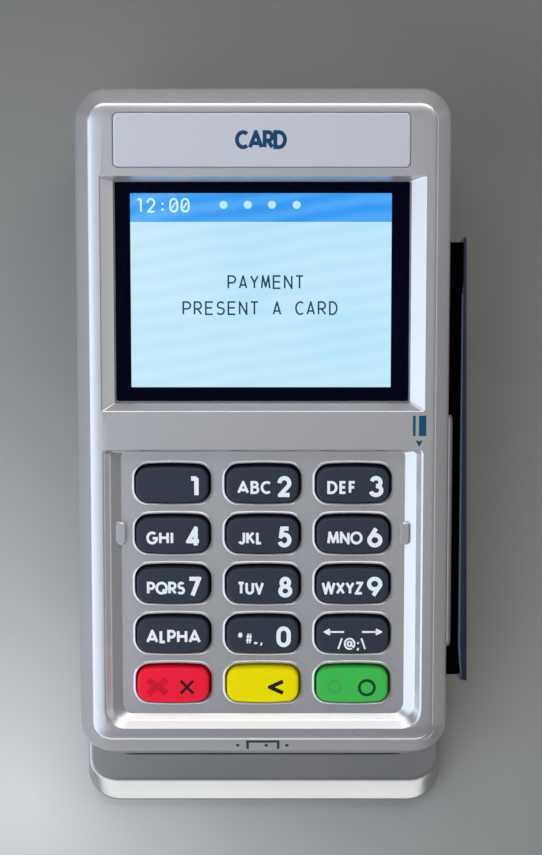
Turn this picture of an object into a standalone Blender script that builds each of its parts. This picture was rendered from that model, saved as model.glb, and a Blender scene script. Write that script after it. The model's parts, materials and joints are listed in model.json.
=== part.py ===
"""Countertop card payment terminal, built from the separate pieces that it is assembled from.

The model is in metres with +Z up and +Y towards the rear. Most pieces lie in the frame of the face: u across,
v up the slope of the face, and w out of it, with w = 0 on the face itself.
"""
import math

import bmesh
import bpy
from mathutils import Matrix, Vector

MM = 0.001

# Overall shape
INCLINE = math.radians(6.5)       # slope of the face, higher at the rear
FACE_HEIGHT = 32.0                # height of the face over the origin of its frame
HALF_WIDTH = 40.3                 # top cover
LOWER_HALF_WIDTH = 39.9           # bottom cover, slightly inside the top cover
REAR = 72.3
NOSE = -71.6                      # front of the top cover under its rounded edge
NOSE_LIP = -73.2                  # front of the top cover at its lower lip
CHIN = -85.6                      # front of the bottom cover, ahead of the card mouth
CHIN_SHELF = -80.4                # front edge of the shelf on the chin
PARTING = 12.0                    # depth of the joint between the covers below the face
SHELF_DEPTH = 16.9                # depth of the chin's shelf below the face
UNDERSIDE = 1.6
WALL = 2.2
EDGE = 4.0                        # rounding round the face
EDGE_DROP = 4.6
GAP = 0.3
RAIL_OVERHANG = 4.9               # how far the swipe rail stands out of the top cover

# Face layout in u and v
TRAY_HALF = 34.9
TRAY_TOP = -4.9
TRAY_BOTTOM = -66.4
TRAY_DEPTH = 2.5
TRAY_FLOOR = 1.8
COVE_SIDE = 3.7
COVE_BOTTOM = 4.5
COVE_TOP = 0.8
DISPLAY_HALF = 34.7
DISPLAY_LOW = 3.5
DISPLAY_HIGH = 53.7
DISPLAY_DEPTH = 2.5
GLASS = (-31.8, 31.5, 5.3, 52.5)
GLASS_THICK = 1.0
LCD = (-29.2, 28.2, 7.7, 50.8)
PLATE = (-31.7, 31.2, 55.6, 66.9)

# Keys
KEY_HALF_U = 8.1
KEY_HALF_V = 4.2
KEY_BOW = 0.45
KEY_CORNER = 2.5
KEY_PITCH_U = 19.6
KEY_PITCH_V = 11.06
KEY_FIRST_V = -12.45
KEY_TOP = -0.9
KEY_BOTTOM = -7.0
KEY_FLANGE = 1.05
KEY_CLEAR = 0.25
KEY_TRAVEL = 1.2
KEY_NAMES = (
    ("key_1", "key_2", "key_3"),
    ("key_4", "key_5", "key_6"),
    ("key_7", "key_8", "key_9"),
    ("key_alpha", "key_0", "key_arrows"),
    ("key_cancel", "key_clear", "key_enter"),
)

# Swipe reader on the right-hand side
RAIL_INNER = 43.4
RAIL_OUTER = 45.2
RAIL_FRONT = -56.0
RAIL_REAR = 41.7
RAIL_TOP_DEPTH = 5.0
RAIL_FLOOR_DEPTH = 14.5
RAIL_FLOOR = 2.0
RIB_OUTER = 41.9
RIB_FRONT = -48.3
RIB_REAR = 2.8
HEAD_Y = -22.8
HEAD_DEPTH = 8.6

# Fasteners and feet
SCREW_PLACES = ((-34.6, -65.6), (34.6, -65.6), (-34.0, 65.4), (34.0, 65.4))
SCREW_NAMES = ("screw_front_left", "screw_front_right", "screw_rear_left", "screw_rear_right")
FOOT_PLACES = ((-29.0, -74.0), (29.0, -74.0), (-29.0, 58.0), (29.0, 58.0))
FOOT_NAMES = ("foot_front_left", "foot_front_right", "foot_rear_left", "foot_rear_right")

SILVER = ((0.42, 0.42, 0.45), 0.34, 0.55)
SILVER_LOW = ((0.40, 0.40, 0.43), 0.40, 0.50)
SLATE = ((0.030, 0.040, 0.058), 0.50, 0.0)
RED = ((0.70, 0.022, 0.045), 0.45, 0.0)
YELLOW = ((0.80, 0.62, 0.010), 0.45, 0.0)
GREEN = ((0.060, 0.44, 0.075), 0.45, 0.0)
BLACK = ((0.012, 0.012, 0.016), 0.22, 0.0)
RUBBER = ((0.020, 0.020, 0.020), 0.85, 0.0)
BOARD = ((0.020, 0.16, 0.060), 0.50, 0.0)
STEEL = ((0.55, 0.55, 0.56), 0.30, 1.0)


def face_height(y):
    """Height of the face over the plan position y, both in millimetres."""
    return FACE_HEIGHT + y * math.tan(INCLINE)


def rounded(x0, x1, y0, y1, front, rear, steps):
    """Anticlockwise outline with elliptical corners; front and rear are their (x, y) radii."""
    corners = (
        (x1, y1, rear, 0.0),
        (x0, y1, rear, 90.0),
        (x0, y0, front, 180.0),
        (x1, y0, front, 270.0),
    )
    points = []
    for x, y, (rx, ry), start in corners:
        cx = x - rx if x == x1 else x + rx
        cy = y - ry if y == y1 else y + ry
        for i in range(steps + 1):
            angle = math.radians(start + 90.0 * i / steps)
            points.append((cx + rx * math.cos(angle), cy + ry * math.sin(angle)))
    return points


def rectangle(x0, x1, y0, y1, radius=0.6, steps=2):
    return rounded(x0, x1, y0, y1, (radius, radius), (radius, radius), steps)


def circle(cx, cy, radius, count):
    turn = 2.0 * math.pi / count
    return [(cx + radius * math.cos(i * turn), cy + radius * math.sin(i * turn)) for i in range(count)]


def key_outline(grow, steps=2):
    """Outline of a key cap: rounded corners, with its long edges bowed outwards in the middle."""
    a = KEY_HALF_U + grow
    b = KEY_HALF_V + grow
    r = KEY_CORNER + grow
    straight = a - r
    points = []
    for sx, sy, start in ((1, 1, 0), (-1, 1, 90), (-1, -1, 180), (1, -1, 270)):
        for i in range(steps + 1):
            angle = math.radians(start + 90.0 * i / steps)
            points.append((sx * straight + r * math.cos(angle), sy * (b - r) + r * math.sin(angle)))
        if start in (0, 180):
            for share in (0.5, 0.0, -0.5):
                points.append((sx * straight * share, sy * b))
    bowed = []
    for x, y in points:
        bowed.append((x, y - math.copysign(KEY_BOW * (x / a) ** 2, y) * min(1.0, abs(y) / (b - r))))
    return bowed


def level(outline, w):
    return [(x, y, w) for x, y in outline]


def sloped(outline, depth):
    """The outline set parallel to the face, depth millimetres straight down from it."""
    return [(x, y, face_height(y) - depth) for x, y in outline]


def loft(rings):
    """Closed shape through the rings, which run anticlockwise and from the lowest to the highest."""
    count = len(rings[0])
    points = [point for ring in rings for point in ring]
    faces = [list(reversed(range(count)))]
    for step in range(len(rings) - 1):
        low = step * count
        high = low + count
        for i in range(count):
            j = (i + 1) % count
            faces.append([low + i, low + j, high + j, high + i])
    last = (len(rings) - 1) * count
    faces.append([last + i for i in range(count)])
    return points, faces


def prism(outline, low, high):
    return loft([level(outline, low), level(outline, high)])


def block(x0, x1, y0, y1, z0, z1, radius=0.5):
    return prism(rectangle(x0, x1, y0, y1, radius), z0, z1)


def cylinder(cx, cy, radius, low, high, count=16):
    return prism(circle(cx, cy, radius, count), low, high)


def joined(shapes):
    points = []
    faces = []
    for more_points, more_faces in shapes:
        base = len(points)
        points.extend(more_points)
        faces.extend([base + i for i in face] for face in more_faces)
    return points, faces


def moved(shape, matrix):
    points, faces = shape
    return [tuple(matrix @ Vector(point)) for point in points], faces


def mesh_object(name, shape, parent, place):
    mesh = bpy.data.meshes.new(name)
    points, faces = shape
    mesh.from_pydata([Vector(point) * MM for point in points], [], faces)
    mesh.validate()
    mesh.update()
    obj = bpy.data.objects.new(name, mesh)
    bpy.context.scene.collection.objects.link(obj)
    obj.parent = parent
    obj.location = Vector(place) * MM
    return obj


def piece(name, shape, parent, look, place=(0.0, 0.0, 0.0)):
    """A named piece of the terminal with a material of its own."""
    obj = mesh_object(name, shape, parent, place)
    colour, roughness, metallic = look
    material = bpy.data.materials.new(name + "_material")
    material.use_nodes = True
    shader = material.node_tree.nodes["Principled BSDF"]
    shader.inputs["Base Color"].default_value = (*colour, 1.0)
    shader.inputs["Roughness"].default_value = roughness
    shader.inputs["Metallic"].default_value = metallic
    material.diffuse_color = (*colour, 1.0)
    obj.data.materials.append(material)
    return obj


def change(obj, name, shape, parent, operation="DIFFERENCE"):
    """Cuts the shape from a piece, or adds it, with a live Boolean."""
    tool = mesh_object(name, shape, parent, (0.0, 0.0, 0.0))
    tool.hide_render = True
    tool.display_type = "WIRE"
    modifier = obj.modifiers.new(name, "BOOLEAN")
    modifier.object = tool
    modifier.operation = operation
    modifier.solver = "EXACT"
    return tool


def empty(name, parent, place, angle=0.0):
    obj = bpy.data.objects.new(name, None)
    bpy.context.scene.collection.objects.link(obj)
    obj.empty_display_size = 0.01
    obj.parent = parent
    obj.location = Vector(place) * MM
    obj.rotation_euler = (angle, 0.0, 0.0)
    return obj


def top_outline(inset, front, steps=5):
    """Plan outline of the top cover; front is (y, x radius, y radius) of its two front corners."""
    y, rx, ry = front
    half = HALF_WIDTH - inset
    rear = max(6.8 - inset, 1.2)
    corner = (max(rx - inset, 1.2), max(ry - inset, 1.2))
    return rounded(-half, half, y + inset, REAR - inset, corner, (rear, rear), steps)


def top_cover(root, face):
    lip = (NOSE_LIP, 9.0, 5.4)
    nose = (NOSE, 7.2, 6.8)
    rings = [
        sloped(top_outline(0.0, lip), PARTING),
        sloped(top_outline(0.0, (NOSE_LIP + 0.3, 8.6, 5.7)), PARTING - 1.6),
        sloped(top_outline(0.0, nose), EDGE_DROP),
    ]
    for angle in (30.0, 58.0, 82.0):
        inset = EDGE * (1.0 - math.cos(math.radians(angle)))
        depth = EDGE_DROP * (1.0 - math.sin(math.radians(angle)))
        rings.append(sloped(top_outline(inset, nose), depth))
    rings.append(sloped(top_outline(EDGE, nose), 0.0))
    cover = piece("top_cover", loft(rings), root, SILVER)

    hollow = loft([
        sloped(top_outline(WALL, lip), PARTING + 1.0),
        sloped(top_outline(WALL, (NOSE_LIP + 0.3, 8.6, 5.7)), PARTING - 1.6),
        sloped(top_outline(WALL, nose), EDGE_DROP + 0.6),
        sloped(top_outline(WALL + 2.2, nose), WALL + 0.2),
    ])
    change(cover, "cut_cover_hollow", hollow, root)

    tray_tub = prism(rectangle(-36.9, 36.9, -69.2, -2.6, 1.0), -TRAY_DEPTH - TRAY_FLOOR, -1.0)
    change(cover, "add_tray_tub", tray_tub, face, "UNION")
    display_tub = prism(rectangle(-36.9, 36.9, 1.3, 55.9, 1.0), -4.9, -1.0)
    change(cover, "add_display_tub", display_tub, face, "UNION")
    bosses = []
    for x, y in SCREW_PLACES:
        low = face_height(y) - PARTING - 0.0
        bosses.append(cylinder(x, y, 3.1, low, low + PARTING - 1.2, 14))
    change(cover, "add_bosses", joined(bosses), root, "UNION")
    middle = (RIB_FRONT + RIB_REAR) / 2.0
    reach = (RIB_REAR - RIB_FRONT) / 2.0
    rib = []
    for share in (-1.0, -0.86, -0.66, -0.4, 0.0, 0.4, 0.66, 0.86, 1.0):
        swell = math.cos(math.pi / 2.0 * share) ** 0.6 if abs(share) < 1.0 else 0.0
        rib.append((HALF_WIDTH - 0.05 + (RIB_OUTER - HALF_WIDTH + 0.05) * swell, middle + reach * share))
    rib += [(HALF_WIDTH - 1.2, RIB_REAR), (HALF_WIDTH - 1.2, RIB_FRONT)]
    upper = [(HALF_WIDTH - 1.2 + (x - HALF_WIDTH + 1.2) * 0.72, y) for x, y in rib]
    rib_shape = loft([sloped(rib, PARTING - 0.2), sloped(rib, 6.2), sloped(upper, 4.9)])
    change(cover, "add_reader_rib", rib_shape, root, "UNION")

    recess = []
    for share_angle in (90.0, 62.0, 36.0, 12.0, -12.0):
        drop = TRAY_DEPTH * math.sin(math.radians(share_angle))
        into = max(0.0, 1.0 - math.cos(math.radians(share_angle)))
        into = into if share_angle > 0.0 else 0.0
        corner = 4.0 - 2.0 * into
        outline = rounded(
            -TRAY_HALF + COVE_SIDE * into, TRAY_HALF - COVE_SIDE * into,
            TRAY_BOTTOM + COVE_BOTTOM * into, TRAY_TOP - COVE_TOP * into,
            (corner, corner), (0.8, 0.8), 4,
        )
        recess.append(level(outline, -drop))
    recess.append(level([(x, y) for x, y, w in recess[-1]], 2.0))
    change(cover, "cut_keypad_tray", loft(recess), face)

    lugs = []
    for side in (-1.0, 1.0):
        lug = rectangle(side * 30.8 - 0.95, side * 30.8 + 0.95, -25.9, -20.9, 0.9)
        lugs.append(loft([level(lug, -TRAY_DEPTH - 0.5), level(lug, -1.35)]))
    change(cover, "add_shield_lugs", joined(lugs), face, "UNION")

    holes = []
    for row in range(5):
        for column in range(3):
            u, v = key_place(row, column)
            shift = Matrix.Translation((u, v, 0.0))
            hole = loft([
                level(key_outline(KEY_CLEAR), -TRAY_DEPTH - TRAY_FLOOR - 1.0),
                level(key_outline(KEY_CLEAR), -TRAY_DEPTH - 0.5),
                level(key_outline(KEY_CLEAR + 0.9), -TRAY_DEPTH + 0.4),
            ])
            holes.append(moved(hole, shift))
    change(cover, "cut_key_openings", joined(holes), face)

    g0, g1, g2, g3 = GLASS
    well = rectangle(g0 - 0.2, g1 + 0.2, g2 - 0.2, g3 + 0.2, 1.0)
    well_low = -DISPLAY_DEPTH - GLASS_THICK - 0.2
    over = 0.2
    side = (DISPLAY_HALF - g1) * over
    rim = rectangle(-DISPLAY_HALF - side, DISPLAY_HALF + side, DISPLAY_LOW - (g2 - DISPLAY_LOW) * over,
                    DISPLAY_HIGH + (DISPLAY_HIGH - g3) * over, 1.4)
    recess = loft([level(well, well_low), level(well, -DISPLAY_DEPTH), level(rim, DISPLAY_DEPTH * over)])
    change(cover, "cut_display_recess", recess, face)
    l0, l1, l2, l3 = LCD
    view = prism(rectangle(l0 - 0.3, l1 + 0.3, l2 - 0.3, l3 + 0.3, 0.6), -8.0, -DISPLAY_DEPTH - 0.5)
    change(cover, "cut_display_view", view, face)

    p0, p1, p2, p3 = PLATE
    seat = prism(rectangle(p0 - 0.2, p1 + 0.2, p2 - 0.2, p3 + 0.2, 1.1), -0.85, 1.0)
    change(cover, "cut_plate_seat", seat, face)

    window_z = face_height(HEAD_Y) - HEAD_DEPTH
    window = block(36.5, 44.0, HEAD_Y - 4.1, HEAD_Y + 4.1, window_z - 2.8, window_z + 2.8)
    change(cover, "cut_head_window", window, root)
    pilots = []
    for x, y in SCREW_PLACES:
        low = face_height(y) - PARTING - 1.0
        pilots.append(cylinder(x, y, 1.55, low, low + 9.0, 10))
    change(cover, "cut_screw_pilots", joined(pilots), root)
    return cover


def key_place(row, column):
    return (column - 1) * KEY_PITCH_U, KEY_FIRST_V - row * KEY_PITCH_V


def lower_outline(inset, front, rear, corner, steps=5):
    half = LOWER_HALF_WIDTH - inset
    rx, ry = corner
    back = max(6.4 - inset, 1.2)
    front_corner = (max(rx - inset, 1.2), max(ry - inset, 1.2))
    return rounded(-half, half, front + inset, rear - inset, front_corner, (back, back), steps)


def bottom_cover(root, face):
    front = NOSE_LIP + 0.4
    rear = REAR - 0.4
    corner = (8.8, 5.2)
    tub = loft([
        level(lower_outline(1.8, front, rear, corner), UNDERSIDE),
        level(lower_outline(0.5, front, rear, corner), UNDERSIDE + 0.7),
        level(lower_outline(0.0, front, rear, corner), UNDERSIDE + 2.2),
        sloped(lower_outline(0.0, front, rear, corner), PARTING + GAP),
    ])
    cover = piece("bottom_cover", tub, root, SILVER_LOW)
    half = LOWER_HALF_WIDTH
    chin = loft([
        level(rounded(-half + 1.5, half - 1.5, CHIN + 1.6, -50.0, (6.0, 6.0), (2.0, 2.0), 5), UNDERSIDE),
        level(rounded(-half + 0.02, half - 0.02, CHIN, -50.0, (7.4, 7.4), (2.0, 2.0), 5), UNDERSIDE + 1.0),
        level(rounded(-half + 0.03, half - 0.03, CHIN + 0.2, -50.0, (7.4, 7.2), (2.0, 2.0), 5), UNDERSIDE + 1.9),
        sloped(rounded(-half + 0.6, half - 0.6, CHIN_SHELF, -50.0, (6.6, 4.6), (2.0, 2.0), 5), SHELF_DEPTH),
    ])
    change(cover, "add_chin", chin, root, "UNION")
    hollow = loft([
        level(lower_outline(WALL + 0.8, front, rear, corner), UNDERSIDE + WALL),
        level(lower_outline(WALL, front, rear, corner), UNDERSIDE + WALL + 1.4),
        sloped(lower_outline(WALL, front, rear, corner), PARTING - 2.0),
    ])
    change(cover, "cut_tub_hollow", hollow, root)

    bosses = []
    bores = []
    shanks = []
    for x, y in SCREW_PLACES:
        top = face_height(y) - PARTING - GAP - 0.5
        bosses.append(cylinder(x, y, 4.3, UNDERSIDE + 0.6, top - 0.5, 16))
        bores.append(cylinder(x, y, 2.9, UNDERSIDE - 1.0, top - 3.5, 14))
        shanks.append(cylinder(x, y, 1.6, top - 4.5, top + 2.0, 10))
    change(cover, "add_screw_bosses", joined(bosses), root, "UNION")
    change(cover, "cut_screw_bores", joined(bores), root)
    change(cover, "cut_screw_shanks", joined(shanks), root)

    mouth_low = -(SHELF_DEPTH - 0.25) * math.cos(INCLINE)
    mouth = prism(rectangle(-30.4, 30.4, -76.0, -66.0, 0.6), mouth_low, -8.0)
    change(cover, "cut_card_mouth", mouth, face)
    rail_slot = loft([
        sloped(rectangle(36.0, 41.0, -46.4, 34.4, 0.3, 1), RAIL_FLOOR_DEPTH + RAIL_FLOOR + 0.3),
        sloped(rectangle(36.0, 41.0, -46.4, 34.4, 0.3, 1), RAIL_FLOOR_DEPTH - 0.3),
    ])
    change(cover, "cut_rail_slot", rail_slot, root)
    cable_hole = block(-6.8, 6.8, 64.0, 76.0, -22.2, -14.2)
    change(cover, "cut_cable_hole", cable_hole, face)
    seats = [cylinder(x, y, 5.3, UNDERSIDE - 1.0, UNDERSIDE + 0.9, 20) for x, y in FOOT_PLACES]
    change(cover, "cut_foot_seats", joined(seats), root)
    return cover


def keys(face):
    for row, names in enumerate(KEY_NAMES):
        for column, name in enumerate(names):
            look = SLATE if row < 4 else (RED, YELLOW, GREEN)[column]
            u, v = key_place(row, column)
            rings = [
                level(key_outline(KEY_FLANGE), -5.6),
                level(key_outline(KEY_FLANGE), -4.6),
                level(key_outline(0.0), -4.59),
                level(key_outline(0.0), KEY_TOP - 0.75),
                level(key_outline(-0.22), KEY_TOP - 0.25),
                level(key_outline(-0.85), KEY_TOP),
            ]
            rings.insert(0, level(key_outline(-0.6), -5.61))
            rings.insert(0, level(key_outline(-0.6), KEY_BOTTOM))
            cap = piece(name, loft(rings), face, look, (u, v, 0.0))
            socket = moved(cylinder(0.0, 0.0, 2.6, KEY_BOTTOM - 1.0, -4.8, 10), Matrix.Translation((u, v, 0.0)))
            change(cap, "cut_socket_" + name, socket, face)
            if name == "key_5":
                nib = block(u - 1.0, u + 1.0, v + 2.1, v + 2.6, KEY_TOP - 0.5, KEY_TOP + 0.25, 0.2)
                change(cap, "add_key_5_nib", nib, face, "UNION")


def keypad_layers(face):
    mat = piece("keypad_mat", block(-30.6, 30.6, -63.8, -6.5, -9.4, -8.6, 1.0), face,
                ((0.10, 0.10, 0.11), 0.8, 0.0))
    pips = []
    for row in range(5):
        for column in range(3):
            u, v = key_place(row, column)
            pips.append(loft([
                level(circle(u, v, 2.3, 10), -9.0),
                level(circle(u, v, 2.2, 10), -8.3),
                level(circle(u, v, 1.8, 10), -6.2),
            ]))
    change(mat, "add_mat_pips", joined(pips), face, "UNION")
    piece("dome_sheet", block(-30.6, 30.6, -63.5, -7.0, -10.0, -9.7, 1.0), face, ((0.50, 0.42, 0.28), 0.35, 0.2))


def display_parts(face):
    g0, g1, g2, g3 = GLASS
    l0, l1, l2, l3 = LCD
    low = -DISPLAY_DEPTH - GLASS_THICK
    edge = rectangle(g0, g1, g2, g3, 0.9)
    bevel = rectangle(g0 + 0.15, g1 - 0.15, g2 + 0.15, g3 - 0.15, 0.8)
    glass = loft([level(edge, low), level(edge, -DISPLAY_DEPTH - 0.15), level(bevel, -DISPLAY_DEPTH)])
    piece("display_window", glass, face, ((0.008, 0.009, 0.012), 0.06, 0.0))
    piece("lcd_panel", block(l0, l1, l2, l3, -5.9, -3.8, 0.4), face, ((0.46, 0.78, 0.90), 0.20, 0.0))
    frame = piece("lcd_frame", block(l0 - 3.6, l1 + 3.6, l2 - 3.6, l3 + 3.4, -8.3, -5.2, 1.0), face, STEEL)
    pocket = block(l0 - 0.3, l1 + 0.3, l2 - 0.3, l3 + 0.3, -6.2, -4.0, 0.6)
    change(frame, "cut_lcd_pocket", pocket, face)
    antenna = piece("contactless_antenna", block(-36.6, 36.6, 1.6, 57.2, -6.2, -5.4, 2.0), face, BOARD)
    hole = block(-33.4, 32.4, 3.4, 55.0, -7.0, -4.6, 1.6)
    change(antenna, "cut_antenna_hole", hole, face)


def name_plate(face):
    p0, p1, p2, p3 = PLATE
    edge = rectangle(p0, p1, p2, p3, 1.0)
    top = rectangle(p0 + 0.2, p1 - 0.2, p2 + 0.2, p3 - 0.2, 0.9)
    shape = loft([level(edge, -0.6), level(edge, -0.1), level(top, 0.1)])
    piece("name_plate", shape, face, ((0.50, 0.50, 0.58), 0.30, 0.2))


def electronics(face):
    piece("main_board", block(-35.0, 35.0, -61.5, 61.0, -11.9, -10.3, 2.0), face, BOARD)

    reader = piece("chip_reader", block(-29.5, 29.5, -69.6, -14.0, -18.4, -12.3, 1.0), face, BLACK)
    channel = block(-27.3, 27.3, -75.0, -17.0, -15.3, -14.0, 0.5)
    change(reader, "cut_card_channel", channel, face)
    tilt = Matrix.Rotation(math.radians(90.0), 4, "X")
    wide = rectangle(-28.4, 28.4, -16.6, -12.8, 0.5)
    narrow = rectangle(-27.3, 27.3, -15.3, -14.0, 0.5)
    funnel = moved(loft([level(narrow, 63.0), level(narrow, 65.0), level(wide, 70.5)]), tilt)
    change(reader, "cut_card_funnel", funnel, face)
    well = block(-7.0, 7.0, -49.0, -36.0, -14.6, -10.0, 0.5)
    change(reader, "cut_contact_well", well, face)
    piece("chip_contacts", block(-6.6, 6.6, -48.6, -36.4, -13.7, -12.3, 0.4), face, ((0.80, 0.58, 0.20), 0.3, 1.0))

    sam = piece("sam_socket", block(-13.0, 13.0, -9.0, 7.0, -14.8, -12.2, 0.5), face, BLACK)
    change(sam, "cut_sam_slot", block(-9.0, 14.0, -7.0, 5.0, -13.9, -13.0, 0.3), face)
    holder = piece("coin_cell_holder", cylinder(-18.0, 22.0, 8.0, -15.0, -12.2, 20), face, BLACK)
    change(holder, "cut_cell_pocket", cylinder(-18.0, 22.0, 6.6, -16.0, -12.8, 20), face)
    piece("coin_cell", cylinder(-18.0, 22.0, 6.25, -14.9, -13.1, 20), face, STEEL)
    sounder = piece("sounder", cylinder(18.0, 22.0, 4.6, -15.6, -12.2, 18), face, BLACK)
    change(sounder, "cut_sound_hole", cylinder(18.0, 22.0, 1.0, -17.0, -13.6, 10), face)

    socket = piece("cable_socket", block(-8.2, 8.2, 51.0, 66.6, -24.2, -12.2, 0.6), face, BLACK)
    change(socket, "cut_socket_mouth", block(-6.0, 6.0, 55.0, 68.0, -21.6, -14.7, 0.5), face)


def swipe_reader(root):
    ends = 8.0
    inner = RAIL_INNER
    outer = RAIL_OUTER
    flare = 0.8
    wall = [
        (outer - 0.35, RAIL_FRONT),
        (outer, RAIL_FRONT + 0.5),
        (outer, RAIL_REAR - 0.5),
        (outer - 0.35, RAIL_REAR),
        (inner + flare, RAIL_REAR),
        (inner + flare * 0.45, RAIL_REAR - ends * 0.45),
        (inner, RAIL_REAR - ends),
        (inner, RAIL_FRONT + ends),
        (inner + flare * 0.45, RAIL_FRONT + ends * 0.45),
        (inner + flare, RAIL_FRONT),
    ]
    centre = (inner + outer) / 2.0 + 0.2
    crest = [(centre + (x - centre) * 0.62, y * 0.996 - 0.03) for x, y in wall]
    low = RAIL_FLOOR_DEPTH + RAIL_FLOOR
    shape = loft([sloped(wall, low), sloped(wall, RAIL_TOP_DEPTH + 0.5), sloped(crest, RAIL_TOP_DEPTH)])
    rail = piece("swipe_rail", shape, root, BLACK)
    floor_outline = rectangle(HALF_WIDTH + 0.3, outer - 0.6, RAIL_FRONT + 0.8, RAIL_REAR - 0.8, 0.4, 1)
    floor = loft([sloped(floor_outline, low - 0.05), sloped(floor_outline, RAIL_FLOOR_DEPTH)])
    change(rail, "add_rail_floor", floor, root, "UNION")
    tab_outline = rectangle(37.0, 42.5, -46.0, 34.0, 0.3, 1)
    tab = loft([sloped(tab_outline, low - 0.1), sloped(tab_outline, RAIL_FLOOR_DEPTH + 0.1)])
    change(rail, "add_rail_tab", tab, root, "UNION")

    z = face_height(HEAD_Y) - HEAD_DEPTH
    turn = Matrix(((0, 0, 1, 0), (1, 0, 0, 0), (0, 1, 0, 0), (0, 0, 0, 1)))

    def section(half_y, half_z):
        return rectangle(-half_y, half_y, -half_z, half_z, 0.5)

    head = loft([
        level(section(3.7, 2.4), -2.2),
        level(section(3.7, 2.4), 1.0),
        level(section(2.9, 2.2), 1.8),
        level(section(1.6, 1.9), 2.15),
    ])
    piece("magnetic_head", moved(head, turn), root, STEEL, (40.6, HEAD_Y, z))
    spring = block(36.7, 37.1, HEAD_Y - 10.4, HEAD_Y + 10.4, z - 2.0, z + 2.0, 0.15)
    piece("head_spring", spring, root, STEEL)


def screws_and_feet(root):
    for name, (x, y) in zip(SCREW_NAMES, SCREW_PLACES):
        web = face_height(y) - PARTING - GAP - 0.5 - 3.5
        head_low = web - 0.3 - 1.8
        shape = loft([
            level(circle(0.0, 0.0, 2.4, 12), 0.0),
            level(circle(0.0, 0.0, 2.5, 12), 0.3),
            level(circle(0.0, 0.0, 2.5, 12), 1.8),
            level(circle(0.0, 0.0, 1.25, 12), 1.81),
            level(circle(0.0, 0.0, 1.25, 12), 11.0),
            level(circle(0.0, 0.0, 0.6, 12), 12.0),
        ])
        screw = piece(name, shape, root, STEEL, (x, y, head_low))
        across = block(x - 1.5, x + 1.5, y - 0.3, y + 0.3, head_low - 0.5, head_low + 0.8, 0.1)
        along = block(x - 0.3, x + 0.3, y - 1.5, y + 1.5, head_low - 0.5, head_low + 0.8, 0.1)
        change(screw, "cut_slot_a_" + name, across, root)
        change(screw, "cut_slot_b_" + name, along, root)
    for name, (x, y) in zip(FOOT_NAMES, FOOT_PLACES):
        shape = loft([
            level(circle(0.0, 0.0, 4.5, 20), 0.0),
            level(circle(0.0, 0.0, 5.0, 20), 0.4),
            level(circle(0.0, 0.0, 5.0, 20), UNDERSIDE + 0.6),
        ])
        piece(name, shape, root, RUBBER, (x, y, 0.0))


def main():
    for obj in list(bpy.data.objects):
        bpy.data.objects.remove(obj, do_unlink=True)
    centre_y = (CHIN + REAR) / 2.0
    root = empty("terminal", None, (-RAIL_OVERHANG / 2.0, -centre_y, 0.0))
    face = empty("face_frame", root, (0.0, 0.0, FACE_HEIGHT), INCLINE)
    top_cover(root, face)
    bottom_cover(root, face)
    name_plate(face)
    display_parts(face)
    keys(face)
    keypad_layers(face)
    electronics(face)
    swipe_reader(root)
    screws_and_feet(root)


main()
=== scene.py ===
"""Looks of a countertop card payment terminal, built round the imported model.

Shapes are worked out in millimetres in the frame of the terminal's face: u across, v up the slope, w out of it.
"""

import json
import math

import bpy
from mathutils import Matrix, Vector
from mathutils.bvhtree import BVHTree
from mathutils.geometry import delaunay_2d_cdt

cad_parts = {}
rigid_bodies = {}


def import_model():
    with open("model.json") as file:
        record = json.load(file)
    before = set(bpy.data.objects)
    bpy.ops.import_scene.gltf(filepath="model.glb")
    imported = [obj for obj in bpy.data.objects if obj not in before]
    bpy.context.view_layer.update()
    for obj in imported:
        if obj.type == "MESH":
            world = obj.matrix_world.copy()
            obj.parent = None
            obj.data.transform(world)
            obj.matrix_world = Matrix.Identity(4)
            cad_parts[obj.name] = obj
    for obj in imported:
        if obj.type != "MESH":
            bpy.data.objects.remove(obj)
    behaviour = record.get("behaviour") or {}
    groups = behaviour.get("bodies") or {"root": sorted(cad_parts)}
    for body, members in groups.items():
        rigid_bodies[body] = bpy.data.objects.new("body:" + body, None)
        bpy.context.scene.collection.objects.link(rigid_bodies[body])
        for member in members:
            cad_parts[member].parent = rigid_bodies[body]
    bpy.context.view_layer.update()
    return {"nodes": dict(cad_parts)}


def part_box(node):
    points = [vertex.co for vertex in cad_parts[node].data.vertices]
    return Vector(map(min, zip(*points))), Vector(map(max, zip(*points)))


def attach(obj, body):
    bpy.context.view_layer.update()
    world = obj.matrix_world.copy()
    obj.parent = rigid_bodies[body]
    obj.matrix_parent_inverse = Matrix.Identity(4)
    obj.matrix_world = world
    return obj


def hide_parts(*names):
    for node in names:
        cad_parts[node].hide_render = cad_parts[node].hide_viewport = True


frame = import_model()

MM = 0.001

# Driving dimensions. Most are the same as the solids', and the rail, the rib and the key gaps are drawn closer.
INCLINE = math.radians(6.5)
FACE_HEIGHT = 32.0
HALF_WIDTH = 40.3
LOWER_HALF_WIDTH = 39.9
REAR = 72.3
NOSE = -71.6
NOSE_LIP = -73.2
CHIN = -85.6
CHIN_SHELF = -80.4
PARTING = 12.0
SHELF_DEPTH = 16.9
UNDERSIDE = 1.6
WALL = 2.2
GAP = 0.3
TRAY_HALF = 34.9
TRAY_TOP = -4.9
TRAY_BOTTOM = -66.4
TRAY_DEPTH = 2.5
TRAY_FLOOR = 1.8
DISPLAY_HALF = 34.7
DISPLAY_LOW = 3.5
DISPLAY_HIGH = 53.7
DISPLAY_DEPTH = 2.5
GLASS = (-31.8, 31.5, 5.3, 52.5)
GLASS_THICK = 1.0
LCD = (-29.2, 28.2, 7.7, 50.8)
PICTURE = (-28.46, 27.6, 8.39, 50.08)
PLATE = (-31.7, 31.2, 55.6, 66.9)
KEY_HALF_U = 8.1
KEY_HALF_V = 4.2
KEY_BOW = 0.45
KEY_CORNER = 2.5
KEY_PITCH_U = 19.6
KEY_PITCH_V = 11.06
KEY_FIRST_V = -12.45
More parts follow.
